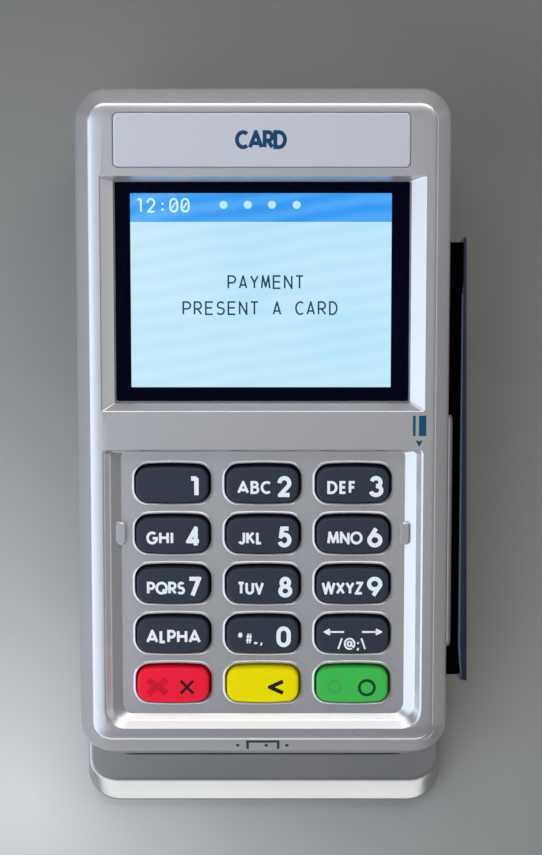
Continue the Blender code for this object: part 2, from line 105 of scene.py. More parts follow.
KEY_BOTTOM = -7.0
KEY_CLEAR = 0.10
KEY_NAMES = (
    ("key_1", "key_2", "key_3"),
    ("key_4", "key_5", "key_6"),
    ("key_7", "key_8", "key_9"),
    ("key_alpha", "key_0", "key_arrows"),
    ("key_cancel", "key_clear", "key_enter"),
)
RAIL_INNER = 42.95
RAIL_OUTER = 44.98
RAIL_FRONT = -56.0
RAIL_REAR = 41.1
RAIL_TOP_DEPTH = 5.0
RAIL_FLOOR_DEPTH = 14.5
RAIL_FLOOR = 2.0
RIB_OUTER = 41.4
RIB_FRONT = -48.3
RIB_REAR = 2.8
HEAD_Y = -22.8
# Centre, in metres, of the pool of light painted into the floor's colour
PAINTED_LIGHT_CENTRE = (-0.0565, -0.0796, 0.0)
HEAD_DEPTH = 8.6
SCREW_PLACES = ((-34.6, -65.6), (34.6, -65.6), (-34.0, 65.4), (34.0, 65.4))
FOOT_PLACES = ((-29.0, -74.0), (29.0, -74.0), (-29.0, 58.0), (29.0, 58.0))
FOOT_NAMES = ("foot_front_left", "foot_front_right", "foot_rear_left", "foot_rear_right")

base_low, base_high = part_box("bottom_cover")
SHIFT = ((base_low.x + base_high.x) / 2.0 / MM, base_low.y / MM - CHIN)
ROOT = Matrix.Translation((SHIFT[0], SHIFT[1], 0.0))
FACE = ROOT @ Matrix.Translation((0.0, 0.0, FACE_HEIGHT)) @ Matrix.Rotation(INCLINE, 4, "X")


# ---- materials

def start_material(name):
    material = bpy.data.materials.new(name)
    material.use_nodes = True
    tree = material.node_tree
    return material, tree, tree.nodes["Principled BSDF"]


def plug(socket, value):
    """Links the socket to the value where that is an output of a node, and otherwise sets it."""
    if isinstance(value, bpy.types.NodeSocket):
        socket.id_data.links.new(value, socket)
    else:
        socket.default_value = value


def settings(node, **values):
    """Plugs the values into the node's inputs. An underscore stands for the space in an input's name."""
    for name, value in values.items():
        plug(node.inputs[name.replace("_", " ")], value)


def added(owner, kind, **values):
    """New shader node in the tree that the owner, a tree, a node or a socket, belongs to."""
    made = owner.id_data.nodes.new("ShaderNode" + kind)
    settings(made, **values)
    return made


def object_coordinates(tree):
    return added(tree, "TexCoord").outputs["Object"]


def mapped(tree, **values):
    return added(tree, "Mapping", Vector=object_coordinates(tree), **values).outputs["Vector"]


def noise(vector, scale, detail=3.0, roughness=0.5):
    return added(vector, "TexNoise", Vector=vector, Scale=scale, Detail=detail, Roughness=roughness).outputs["Fac"]


def ranged(value, low, high, from_low=0.25, from_high=0.75):
    made = added(value, "MapRange", Value=value, From_Min=from_low, From_Max=from_high, To_Min=low, To_Max=high)
    return made.outputs["Result"]


def mixed(factor, first, second, blend="MIX"):
    made = added(first if isinstance(factor, float) else factor, "Mix")
    made.data_type = "RGBA"
    made.blend_type = blend
    for number, value in ((0, factor), (6, first), (7, second)):
        plug(made.inputs[number], (*value[:3], 1.0) if isinstance(value, tuple) else value)
    return made.outputs[2]


def multiplied(factor, first, second):
    return mixed(factor, first, second, "MULTIPLY")


def bumped(shader, height, strength, distance):
    made = added(shader, "Bump", Strength=strength, Distance=distance, Height=height)
    settings(shader, Normal=made.outputs["Normal"])


def scaled(colour, factor):
    return tuple(min(1.0, c * factor) for c in colour)


def cloudy(shader, tint, broad, low, high, roughness, wander):
    """Gives the shader the tint with faint clouds, and a gloss that varies with them."""
    cloud = mixed(ranged(broad, 0.0, 1.0), low, high)
    settings(shader, Base_Color=multiplied(1.0, tint, cloud),
             Roughness=ranged(broad, roughness - wander, roughness + wander))


def moulded(name, colour, roughness, spread=0.05, grain=2600.0, bump=0.25, depth=0.00002, metallic=0.0,
            wander=0.05, coat=0.0, specular=0.5):
    """Moulded or painted plastic: a fine surface grain, faint cloudiness in colour and uneven gloss."""
    material, tree, shader = start_material(name)
    place = object_coordinates(tree)
    fine = noise(place, grain, 2.0, 0.6)
    broad = noise(place, 38.0, 3.0, 0.5)
    tint = mixed(ranged(fine, 0.0, 1.0), scaled(colour, 1.0 - spread), scaled(colour, 1.0 + spread))
    cloudy(shader, tint, broad, (0.97, 0.98, 0.97), (1.0, 1.0, 1.0), roughness, wander)
    settings(shader, Metallic=metallic, Coat_Weight=coat, Coat_Roughness=0.15, Specular_IOR_Level=specular)
    bumped(shader, fine, bump, depth)
    return material


def silver_paint(name, colour, roughness, metallic):
    """Silver-grey metallic paint: small flakes that differ in brightness under a satin clear layer."""
    material, tree, shader = start_material(name)
    place = object_coordinates(tree)
    flakes = added(tree, "TexVoronoi", Vector=place, Scale=4200.0)
    split = added(tree, "SeparateColor", Color=flakes.outputs["Color"])
    flake = ranged(split.outputs["Red"], 0.0, 1.0, 0.0, 1.0)
    tint = mixed(flake, scaled(colour, 0.97), scaled(colour, 1.03))
    broad = noise(place, 26.0, 2.0, 0.5)
    cloudy(shader, tint, broad, (0.95, 0.965, 0.96), (1.0, 0.985, 1.0), roughness, 0.015)
    settings(shader, Metallic=metallic, Coat_Weight=0.15, Coat_Roughness=0.25)
    return material


def glowing(name, colour, second=None, weave=0.35):
    """A lit area of the display: long faint slanting ripples over the fine dot grid of the panel."""
    material, tree, shader = start_material(name)
    settings(shader, Base_Color=(0.004, 0.004, 0.008, 1.0), Roughness=0.35, Specular_IOR_Level=0.1,
             Emission_Strength=1.0)
    layers = []
    for scale, turn, warp in ((85.0, 1.42, 2.5), (575.0, 0.0, 0.0), (575.0, 1.5708, 0.0)):
        wave = added(tree, "TexWave", Vector=mapped(tree, Rotation=(0.0, 0.0, turn)), Scale=scale,
                     Distortion=warp, Detail=2.0, Detail_Scale=0.6)
        layers.append(wave.outputs["Fac"])
    grid = added(tree, "Math")
    grid.operation = "MULTIPLY"
    plug(grid.inputs[0], layers[1])
    plug(grid.inputs[1], layers[2])
    other = second or tuple(c * 0.92 for c in colour)
    fade = tuple(min(1.0, b / max(a, 1e-4)) for a, b in zip(colour, other))
    broad = noise(object_coordinates(tree), 22.0, 3.0, 0.6)
    ripple = mixed(ranged(layers[0], 0.0, weave, 0.0, 1.0), colour, other)
    cloud = mixed(ranged(broad, 0.0, 1.0, 0.35, 0.65), (1.0, 1.0, 1.0), fade)
    dots = mixed(ranged(grid.outputs[0], 0.0, 1.0, 0.0, 1.0), (0.965, 0.98, 1.0), (1.0, 1.0, 1.0))
    tinted = multiplied(0.6, ripple, cloud)
    settings(shader, Emission_Color=multiplied(1.0, tinted, dots))
    return material


def clear_glass(name):
    """A clear window whose faces hardly reflect, with very faint wipe marks."""
    material, tree, shader = start_material(name)
    settings(shader, Base_Color=(1.0, 1.0, 1.0, 1.0), Transmission_Weight=1.0, IOR=1.05, Roughness=0.0)
    smear = noise(mapped(tree, Scale=(1.0, 0.25, 1.0)), 60.0, 4.0, 0.6)
    bumped(shader, smear, 0.02, 0.00001)
    return material


def brushed(name, colour, roughness, stretch):
    material, tree, shader = start_material(name)
    lines = noise(mapped(tree, Scale=stretch), 900.0, 3.0, 0.6)
    settings(shader, Base_Color=mixed(ranged(lines, 0.0, 1.0), scaled(colour, 0.85), colour),
             Roughness=ranged(lines, roughness - 0.05, roughness + 0.1), Metallic=1.0)
    bumped(shader, lines, 0.15, 0.00001)
    return material


def key_plastic(name, colour, roughness, spread, specular):
    return moulded(name, colour, roughness, spread, 3400.0, 0.3, specular=specular)


def ink(name, colour, roughness=0.55, spread=0.06, bump=0.1, specular=0.15):
    return moulded(name, colour, roughness, spread, 4000.0, bump, specular=specular)


SILVER = silver_paint("silver_paint", (0.56, 0.555, 0.575), 0.31, 0.72)
# The same silver paint made darker, painting in the shade that falls on the bottom cover's card shelf under the nose
SILVER_SHADED = silver_paint("silver_paint_painted_shade", (0.42, 0.422, 0.425), 0.30, 0.85)
PLATE_PAINT = moulded("plate_face", (0.60, 0.605, 0.68), 0.30, 0.015, 3000.0, 0.08, metallic=0.25, coat=0.2)
SLATE = moulded("slate_key_plastic", (0.022, 0.029, 0.048), 0.50, 0.12, 3400.0, 0.35, specular=0.3)
RED = key_plastic("red_key_plastic", (0.88, 0.006, 0.034), 0.48, 0.05, 0.22)
YELLOW = key_plastic("yellow_key_plastic", (0.86, 0.72, 0.0002), 0.5, 0.04, 0.06)
GREEN = key_plastic("green_key_plastic", (0.045, 0.47, 0.072), 0.48, 0.06, 0.22)
RED_DARK = moulded("red_textured_cross", (0.62, 0.004, 0.028), 0.62, 0.22, 2400.0, 0.6, 0.00004, specular=0.15)
GREEN_DARK = moulded("green_embossed_ring", (0.045, 0.37, 0.06), 0.55, 0.15, 2400.0, 0.6, 0.00005)
LEGEND = ink("legend_white", (0.80, 0.86, 0.90), 0.45, 0.03, 0.15, 0.5)
LEGEND_DARK = ink("legend_dark", (0.012, 0.010, 0.012), 0.6, 0.05, 0.15)
LEGEND_GREEN = ink("legend_dark_green", (0.008, 0.050, 0.018), 0.6, 0.05, 0.15)
INK_BLUE = ink("ink_blue", (0.004, 0.050, 0.14))
INK_TEAL = ink("ink_teal", (0.003, 0.075, 0.145))
INK_GREY = ink("ink_grey", (0.030, 0.045, 0.065))
MASK_BLACK = moulded("window_border_black", (0.0006, 0.0008, 0.009), 0.4, 0.1, 3000.0, 0.03, specular=0.02)
# Black glossy rail plastic whose navy colour is a painted blue reflection of the window light
RAIL_BLACK_BLUE_SHEEN = moulded("rail_black_painted_blue_sheen", (0.0016, 0.009, 0.030), 0.15, 0.15, 2600.0, 0.03, wander=0.03, coat=0.3,
                     specular=0.35)
SLOT_BLACK = moulded("slot_black", (0.0006, 0.0006, 0.0008), 0.6, 0.15, 2600.0, 0.03, specular=0.02)
BLACK_PLASTIC = moulded("black_moulding", (0.014, 0.014, 0.016), 0.5, 0.15, 2600.0, 0.4)
RUBBER = moulded("foot_rubber", (0.016, 0.016, 0.016), 0.85, 0.2, 1800.0, 0.6, 0.00005)
SILICONE = moulded("mat_silicone", (0.060, 0.060, 0.066), 0.7, 0.1, 1800.0, 0.3)
FILM = moulded("dome_film", (0.48, 0.36, 0.16), 0.35, 0.08, 900.0, 0.1)
SOLDER_MASK = moulded("solder_mask", (0.012, 0.15, 0.055), 0.42, 0.18, 420.0, 0.2, 0.00004)
STEEL = brushed("bright_steel", (0.56, 0.56, 0.58), 0.26, (1.0, 8.0, 1.0))
GILT = brushed("gilt", (0.86, 0.62, 0.24), 0.25, (8.0, 1.0, 1.0))
WINDOW = clear_glass("window_clear")
PICTURE_PALE = glowing("picture_pale", (0.62, 0.87, 0.96), (0.46, 0.78, 0.95))
PICTURE_BAR = glowing("picture_bar", (0.13, 0.47, 0.99), (0.03, 0.34, 0.90), 0.7)
PICTURE_WHITE = glowing("picture_white", (0.72, 0.95, 0.98))
PICTURE_DOT = glowing("picture_dot", (0.55, 0.88, 0.98))
PICTURE_INK = glowing("picture_ink", (0.012, 0.055, 0.105))


# ---- shapes

def face_height(y):
    return FACE_HEIGHT + y * math.tan(INCLINE)


def rounded(x0, x1, y0, y1, front, rear, steps):
    """Anticlockwise outline with elliptical corners; front and rear are their (x, y) radii."""
    corners = ((x1, y1, rear, 0.0), (x0, y1, rear, 90.0), (x0, y0, front, 180.0), (x1, y0, front, 270.0))
    points = []
    for x, y, (rx, ry), start in corners:
        cx = x - rx if x == x1 else x + rx
        cy = y - ry if y == y1 else y + ry
        for i in range(steps + 1):
            angle = math.radians(start + 90.0 * i / steps)
            points.append((cx + rx * math.cos(angle), cy + ry * math.sin(angle)))
    return points


def rectangle(x0, x1, y0, y1, radius=0.6, steps=6):
    return rounded(x0, x1, y0, y1, (radius, radius), (radius, radius), steps)


def grown(box, by, radius, steps=6):
    """Outline of the (x0, x1, y0, y1) box, moved outwards on all four sides."""
    x0, x1, y0, y1 = box
    return rectangle(x0 - by, x1 + by, y0 - by, y1 + by, radius, steps)


def circle(cx, cy, radius, count=48):
    turn = 2.0 * math.pi / count
    return [(cx + radius * math.cos(i * turn), cy + radius * math.sin(i * turn)) for i in range(count)]


def key_outline(grow, steps=10):
    """Outline of a key cap: rounded corners, with its long edges bowed outwards in the middle."""
    a = KEY_HALF_U + grow
    b = KEY_HALF_V + grow
    r = max(KEY_CORNER + grow, 0.45)
    straight = a - r
    points = []
    for sx, sy, start in ((1, 1, 0), (-1, 1, 90), (-1, -1, 180), (1, -1, 270)):
        for i in range(steps + 1):
            angle = math.radians(start + 90.0 * i / steps)
            points.append((sx * straight + r * math.cos(angle), sy * (b - r) + r * math.sin(angle)))
        if start in (0, 180):
            for i in range(1, 12):
                points.append((sx * straight * (1.0 - i / 6.0), sy * b))
    bowed = []
    for x, y in points:
        share = min(1.0, abs(y) / max(b - r, 0.01))
        bowed.append((x, y - math.copysign(KEY_BOW * (x / a) ** 2, y) * share))
    return bowed


def level(outline, w):
    return [(x, y, w) for x, y in outline]


def sloped(outline, depth):
    return [(x, y, face_height(y) - depth) for x, y in outline]


def loft(rings):
    """Closed shape through the rings, which run anticlockwise and from the lowest to the highest."""
    count = len(rings[0])
    points = [point for ring in rings for point in ring]
    faces = [list(reversed(range(count)))]
    for step in range(len(rings) - 1):
        low = step * count
        high = low + count
        for i in range(count):
            j = (i + 1) % count
            faces.append([low + i, low + j, high + j, high + i])
    last = (len(rings) - 1) * count
    faces.append([last + i for i in range(count)])
    return points, faces


def prism(outline, low, high):
    return loft([level(outline, low), level(outline, high)])


def block(x0, x1, y0, y1, z0, z1, radius=0.5):
    return prism(rectangle(x0, x1, y0, y1, radius), z0, z1)


def cylinder(cx, cy, radius, low, high, count=48):
    return prism(circle(cx, cy, radius, count), low, high)


def joined(shapes):
    points = []
    faces = []
    for more_points, more_faces in shapes:
        base = len(points)
        points.extend(more_points)
        faces.extend([base + i for i in face] for face in more_faces)
    return points, faces


def moved(shape, matrix):
    points, faces = shape
    return [tuple(matrix @ Vector(point)) for point in points], faces


def linked(name, data):
    obj = bpy.data.objects.new(name, data)
    bpy.context.scene.collection.objects.link(obj)
    return obj


def bare_mesh(name, shape, matrix):
    mesh = bpy.data.meshes.new(name)
    points, faces = shape
    mesh.from_pydata([(matrix @ Vector(point)) * MM for point in points], [], faces)
    mesh.validate()
    mesh.update()
    return mesh


CUT = "DIFFERENCE"
ADD = "UNION"


def carved(name, shape, matrix, steps):
    """Mesh of the shape after each (shape, matrix, operation) step is cut from it or added to it."""
    obj = linked(name + "_work", bare_mesh(name, shape, matrix))
    tools = []
    for number, (tool_shape, tool_matrix, operation) in enumerate(steps):
        tool = linked(f"{name}_tool_{number}", bare_mesh("tool", tool_shape, tool_matrix))
        tools.append(tool)
        modifier = obj.modifiers.new(tool.name, "BOOLEAN")
        modifier.object = tool
        modifier.operation = operation
        modifier.solver = "EXACT"
    bpy.context.view_layer.update()
    graph = bpy.context.evaluated_depsgraph_get()
    mesh = bpy.data.meshes.new_from_object(obj.evaluated_get(graph))
    for used in [obj] + tools:
        bpy.data.objects.remove(used, do_unlink=True)
    mesh.name = name
    return mesh


def finish_piece(name, mesh, body, material, replaced=(), angle=32.0):
    """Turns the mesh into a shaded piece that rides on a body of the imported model."""
    mesh.materials.clear()
    mesh.materials.append(material)
    mesh.polygons.foreach_set("use_smooth", [True] * len(mesh.polygons))
    mesh.set_sharp_from_angle(angle=math.radians(angle))
    obj = linked(name, mesh)
    weighted = obj.modifiers.new("weighted", "WEIGHTED_NORMAL")
    weighted.keep_sharp = True
    weighted.weight = 80
    if replaced:
        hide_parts(*replaced)
    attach(obj, body)
    return obj


def piece(name, shape, matrix, body, material, replaced=(), angle=40.0):
    return finish_piece(name, bare_mesh(name, shape, matrix), body, material, replaced, angle)


def key_place(row, column):
    return (column - 1) * KEY_PITCH_U, KEY_FIRST_V - row * KEY_PITCH_V


def between(low, high, share):
    share = max(0.0, min(1.0, share))
    share = share * share * (3.0 - 2.0 * share)
    return low + (high - low) * share


# ---- covers

def top_outline(inset, depth):
    """Plan outline of the top cover, whose nose leans forward to its lower lip."""
    share = (depth - 4.6) / (11.2 - 4.6)
    y = between(NOSE, NOSE_LIP, share)
    rx = between(7.2, 9.0, share)
    ry = between(6.8, 5.4, share)
    half = HALF_WIDTH - inset
    rear = max(6.8 - inset, 1.2)
    corner = (max(rx - inset, 1.2), max(ry - inset, 1.2))
    return rounded(-half, half, y + inset, REAR - inset - 0.2 * min(inset, 3.3), corner, (rear, rear), 14)


# (depth below the face, inset from the widest outline)
COVER_PROFILE = (
    (12.0, 0.34), (11.82, 0.12), (11.5, 0.0), (10.6, 0.0), (9.4, 0.0), (8.2, 0.0), (6.6, 0.0), (5.2, 0.0),
    (4.25, 0.0), (3.85, 0.04), (3.55, 0.14), (3.28, 0.33), (2.95, 0.64), (2.55, 1.03), (2.12, 1.46), (1.7, 1.88),
    (1.3, 2.28), (0.97, 2.62), (0.74, 2.86), (0.58, 3.02), (0.46, 3.15), (0.36, 3.35), (0.27, 3.70), (0.17, 4.25),
    (0.09, 4.95), (0.03, 5.75), (0.0, 6.6),
)


def rib_outline(scale):
    """Plan of the guide rib: a straight strip whose inner side slants out to its pointed ends."""
    root_x = HALF_WIDTH - 1.2
    points = [(RIB_OUTER - 0.4, RIB_FRONT), (RIB_OUTER - 0.1, RIB_FRONT + 0.5), (RIB_OUTER, RIB_FRONT + 1.4),
              (RIB_OUTER, -20.0), (RIB_OUTER, RIB_REAR - 1.4), (RIB_OUTER - 0.1, RIB_REAR - 0.5),
              (RIB_OUTER - 0.4, RIB_REAR), (HALF_WIDTH, RIB_REAR - 2.4), (root_x, RIB_REAR - 3.6)]
    points += [(root_x, -20.0), (root_x, RIB_FRONT + 3.6), (HALF_WIDTH, RIB_FRONT + 2.4)]
    return [(root_x + (x - root_x) * scale, y * (1.0 - 0.004 * (1.0 - scale))) for x, y in points]


# How far in from the rim at the sides and at the bottom, as a share of the slope's width, and the share of the depth
TRAY_PROFILE = (
    (1.0, 1.0, 1.0), (0.97, 0.975, 0.994), (0.945, 0.95, 0.98), (0.92, 0.92, 0.955), (0.48, 0.60, 0.62),
    (0.45, 0.57, 0.595), (0.42, 0.53, 0.56), (0.385, 0.48, 0.51), (0.19, 0.15, 0.155), (0.16, 0.10, 0.105),
    (0.13, 0.065, 0.066), (0.09, 0.035, 0.034), (0.04, 0.01, 0.012),
)
SLOPE_SIDE = 4.2
SLOPE_BOTTOM = 2.9
SLOPE_TOP = 0.75


def tray_cutter():
    rings = []
    for side, bottom, drop in TRAY_PROFILE:
        corner = 4.4 - 1.9 * side
        outline = rounded(
            -TRAY_HALF + SLOPE_SIDE * side, TRAY_HALF - SLOPE_SIDE * side,
            TRAY_BOTTOM + SLOPE_BOTTOM * bottom, TRAY_TOP - SLOPE_TOP * side,
            (corner, corner), (0.9, 0.9), 8,
        )
        rings.append(level(outline, -TRAY_DEPTH * drop))
    for grow, w in ((0.12, -0.004), (0.5, 0.10), (0.5, 1.5)):
        outline = rounded(
            -TRAY_HALF - grow, TRAY_HALF + grow, TRAY_BOTTOM - grow, TRAY_TOP + grow,
            (4.4 + grow, 4.4 + grow), (0.9 + grow, 0.9 + grow), 8,
        )
        rings.append(level(outline, w))
    return loft(rings)


# (growth over the gap round a cap, height over the tray's floor) of the rim and of the opening at each key
KEY_BEAD = ((0.74, -0.5), (0.74, -0.03), (0.66, 0.03), (0.50, 0.115), (0.34, 0.165), (0.18, 0.18))
KEY_OPENING = ((0.0, -TRAY_FLOOR - 1.0), (0.0, -0.75), (0.03, -0.4), (0.08, -0.1), (0.15, 0.06), (0.26, 0.22),
               (0.26, 0.6))


def round_every_key(profile):
    shape = loft([level(key_outline(KEY_CLEAR + grow), -TRAY_DEPTH + w) for grow, w in profile])
    return joined([moved(shape, Matrix.Translation((*key_place(row, column), 0.0)))
                   for row in range(len(KEY_NAMES)) for column in range(len(KEY_NAMES[0]))])


def display_cutter():
    g0, g1, g2, g3 = GLASS
    low = grown(GLASS, 0.15, 0.4)
    rings = [level(low, -DISPLAY_DEPTH - GLASS_THICK - 0.2), level(low, -DISPLAY_DEPTH - 0.12)]
    for share, w in ((0.02, -1.9), (0.06, -1.78), (0.5, -0.98), (0.92, -0.22), (0.98, -0.12), (1.04, -0.055),
                     (1.14, 0.0), (1.34, 0.1), (1.34, 1.5)):
        x0 = g0 - 0.15 + (-DISPLAY_HALF - g0 + 0.15) * share
        x1 = g1 + 0.15 + (DISPLAY_HALF - g1 - 0.15) * share
        y0 = g2 - 0.15 + (DISPLAY_LOW - g2 + 0.15) * share
        y1 = g3 + 0.15 + (DISPLAY_HIGH - g3 - 0.15) * share
        rings.append(level(rectangle(x0, x1, y0, y1, 0.4), w))
    return loft(rings)


def build_top_cover():
    outer = loft([sloped(top_outline(inset, depth), depth) for depth, inset in COVER_PROFILE])
    hollow = loft([sloped(top_outline(inset, depth), low) for inset, depth, low in
                   ((WALL, PARTING, PARTING + 1.0), (WALL, 9.0, 9.0), (WALL + 0.3, 5.2, 5.2),
                    (WALL + 2.6, 2.4, WALL + 0.4))])
    lows = [(x, y, face_height(y) - PARTING) for x, y in SCREW_PLACES]
    bosses = [cylinder(x, y, 3.1, low, low + PARTING - 1.2, 32) for x, y, low in lows]
    pilots = [cylinder(x, y, 1.55, low - 1.0, low + 8.0, 24) for x, y, low in lows]
    rib = loft([sloped(rib_outline(scale), depth) for scale, depth in
                ((1.0, PARTING - 0.2), (1.0, 6.5), (0.97, 6.2), (0.60, 5.5), (0.52, 5.44))])
    lugs = []
    for u in (-30.8, 30.8):
        base = rectangle(u - 0.95, u + 0.95, -25.9, -20.9, 0.92, 8)
        crown = rectangle(u - 0.7, u + 0.7, -25.6, -21.2, 0.68, 8)
        lugs.append(loft([level(base, -TRAY_DEPTH - 0.5), level(base, -1.6), level(crown, -1.35)]))
    reliefs = []
    for column in range(3):
        u = (column - 1) * KEY_PITCH_U
        turns = [2.0 * math.pi * i / 24 for i in range(24)]
        outline = [(u + 7.2 * math.cos(turn), TRAY_TOP - 0.16 + 0.34 * math.sin(turn)) for turn in turns]
        reliefs.append(loft([level(outline, -2.2), level(outline, 0.6)]))
    seat = loft([level(grown(PLATE, grow, radius, 8), w) for grow, radius, w in
                 ((0.17, 1.15, -0.85), (0.17, 1.15, -0.18), (0.32, 1.3, -0.02), (0.65, 1.6, 0.08), (0.65, 1.6, 1.0))])
    window_z = face_height(HEAD_Y) - HEAD_DEPTH
    tub = TRAY_DEPTH + TRAY_FLOOR
    steps = (
        (hollow, ROOT, CUT),
        (prism(rectangle(-36.9, 36.9, -69.2, -2.6, 1.0), -tub, -1.0), FACE, ADD),
        (prism(rectangle(-36.9, 36.9, 1.3, 55.9, 1.0), -4.9, -1.0), FACE, ADD),
        (joined(bosses), ROOT, ADD),
        (rib, ROOT, ADD),
        (tray_cutter(), FACE, CUT),
        (joined(lugs), FACE, ADD),
        (round_every_key(KEY_BEAD), FACE, ADD),
        (joined(reliefs), FACE, CUT),
        (round_every_key(KEY_OPENING), FACE, CUT),
        (display_cutter(), FACE, CUT),
        (prism(grown(LCD, 0.3, 0.6), -8.0, -3.0), FACE, CUT),
        (seat, FACE, CUT),
        (block(36.5, 44.0, HEAD_Y - 4.1, HEAD_Y + 4.1, window_z - 2.8, window_z + 1.55), ROOT, CUT),
        (joined(pilots), ROOT, CUT),
    )
    mesh = carved("upper_cover", outer, ROOT, steps)
    return finish_piece("upper_cover", mesh, "terminal", SILVER, ("top_cover",), 28.0)


def lower_outline(inset):
    """Plan outline of the bottom cover behind its chin."""
    half = LOWER_HALF_WIDTH - inset
    back = max(6.4 - inset, 1.2)
    corner = (max(8.8 - inset, 1.2), max(5.2 - inset, 1.2))
    return rounded(-half, half, NOSE_LIP + 0.4 + inset, REAR - 0.4 - inset, corner, (back, back), 14)


def chin_outline(inset, front, corner):
    half = LOWER_HALF_WIDTH + 0.3 - inset
    return rounded(-half, half, front, -50.0, corner, (2.0, 2.0), 14)


def build_bottom_cover():
    rings = [level(lower_outline(inset), UNDERSIDE + height) for height, inset in
             ((0.0, 1.8), (0.12, 1.2), (0.5, 0.62), (1.1, 0.22), (1.8, 0.05), (2.6, 0.0))]
    rings.append(sloped(lower_outline(0.0), PARTING + GAP + 0.3))
    rings.append(sloped(lower_outline(0.18), PARTING + GAP))
    sides = ((1.5, 1.6, (6.0, 6.0), 0.0), (0.5, 0.5, (7.0, 7.0), 0.25), (0.06, 0.03, (7.4, 7.4), 0.9),
             (0.03, 0.03, (7.4, 7.3), 1.35), (0.05, 0.2, (7.4, 7.2), 1.75), (0.09, 0.55, (7.3, 7.0), 2.05))
    shelf = ((0.50, -0.75, (6.7, 5.0), 0.28), (0.62, -0.3, (6.6, 4.8), 0.10), (0.85, 0.1, (6.5, 4.5), 0.02),
             (1.4, 0.7, (6.2, 4.2), 0.0))
    chin = loft([level(chin_outline(inset, CHIN + back, radii), UNDERSIDE + up) for inset, back, radii, up in sides]
                + [sloped(chin_outline(inset, CHIN_SHELF + back, radii), SHELF_DEPTH + down)
                   for inset, back, radii, down in shelf])
    hollow = loft([
        level(lower_outline(WALL + 0.8), UNDERSIDE + WALL),
        level(lower_outline(WALL), UNDERSIDE + WALL + 1.4),
        sloped(lower_outline(WALL), PARTING - 2.0),
    ])
    tops = [(x, y, face_height(y) - PARTING - GAP - 0.5) for x, y in SCREW_PLACES]
    bosses = [cylinder(x, y, 4.3, UNDERSIDE + 0.6, top - 0.5, 32) for x, y, top in tops]
    bores = [cylinder(x, y, 2.9, UNDERSIDE - 1.0, top - 3.5, 32) for x, y, top in tops]
    shanks = [cylinder(x, y, 1.6, top - 4.5, top + 2.0, 24) for x, y, top in tops]
    mouth_low = -(SHELF_DEPTH - 0.25) * math.cos(INCLINE)
    mouth = block(-30.4, 30.4, -76.0, -66.0, mouth_low, -8.0, 0.6)
    ramp = loft([sloped(rectangle(-half, half, front_edge, -66.0, radius), SHELF_DEPTH + down)
                 for half, front_edge, radius, down in
                 ((31.5, -71.9, 1.2, 1.5), (32.8, -74.6, 2.4, 0.02), (33.0, -75.0, 2.6, -0.05),
                  (33.0, -75.0, 2.6, -0.2))])
    slot = rectangle(36.0, 41.0, -46.4, 34.4, 0.3, 3)
    rail_slot = loft([sloped(slot, RAIL_FLOOR_DEPTH + RAIL_FLOOR + 0.3), sloped(slot, RAIL_FLOOR_DEPTH - 0.3)])
    cable_hole = block(-6.8, 6.8, 64.0, 76.0, -22.2, -14.2, 0.8)
    seats = [cylinder(x, y, 5.3, UNDERSIDE - 1.0, UNDERSIDE + 0.9) for x, y in FOOT_PLACES]
    steps = (
        (chin, ROOT, ADD),
        (hollow, ROOT, CUT),
        (joined(bosses), ROOT, ADD),
        (joined(bores), ROOT, CUT),
        (joined(shanks), ROOT, CUT),
        (mouth, FACE, CUT),
        (ramp, ROOT, CUT),
        (rail_slot, ROOT, CUT),
        (cable_hole, FACE, CUT),
        (joined(seats), ROOT, CUT),
    )
    mesh = carved("lower_cover", loft(rings), ROOT, steps)
    # The bottom cover takes the darker silver, whose colour holds painted shade
    return finish_piece("lower_cover", mesh, "terminal", SILVER_SHADED, ("bottom_cover",), 30.0)


# ---- strokes for legends

def arc(cx, cy, rx, ry, start, end, steps=14):
    points = []
    for i in range(steps + 1):
        angle = math.radians(start + (end - start) * i / steps)
        points.append((cx + rx * math.cos(angle), cy + ry * math.sin(angle)))
    return points


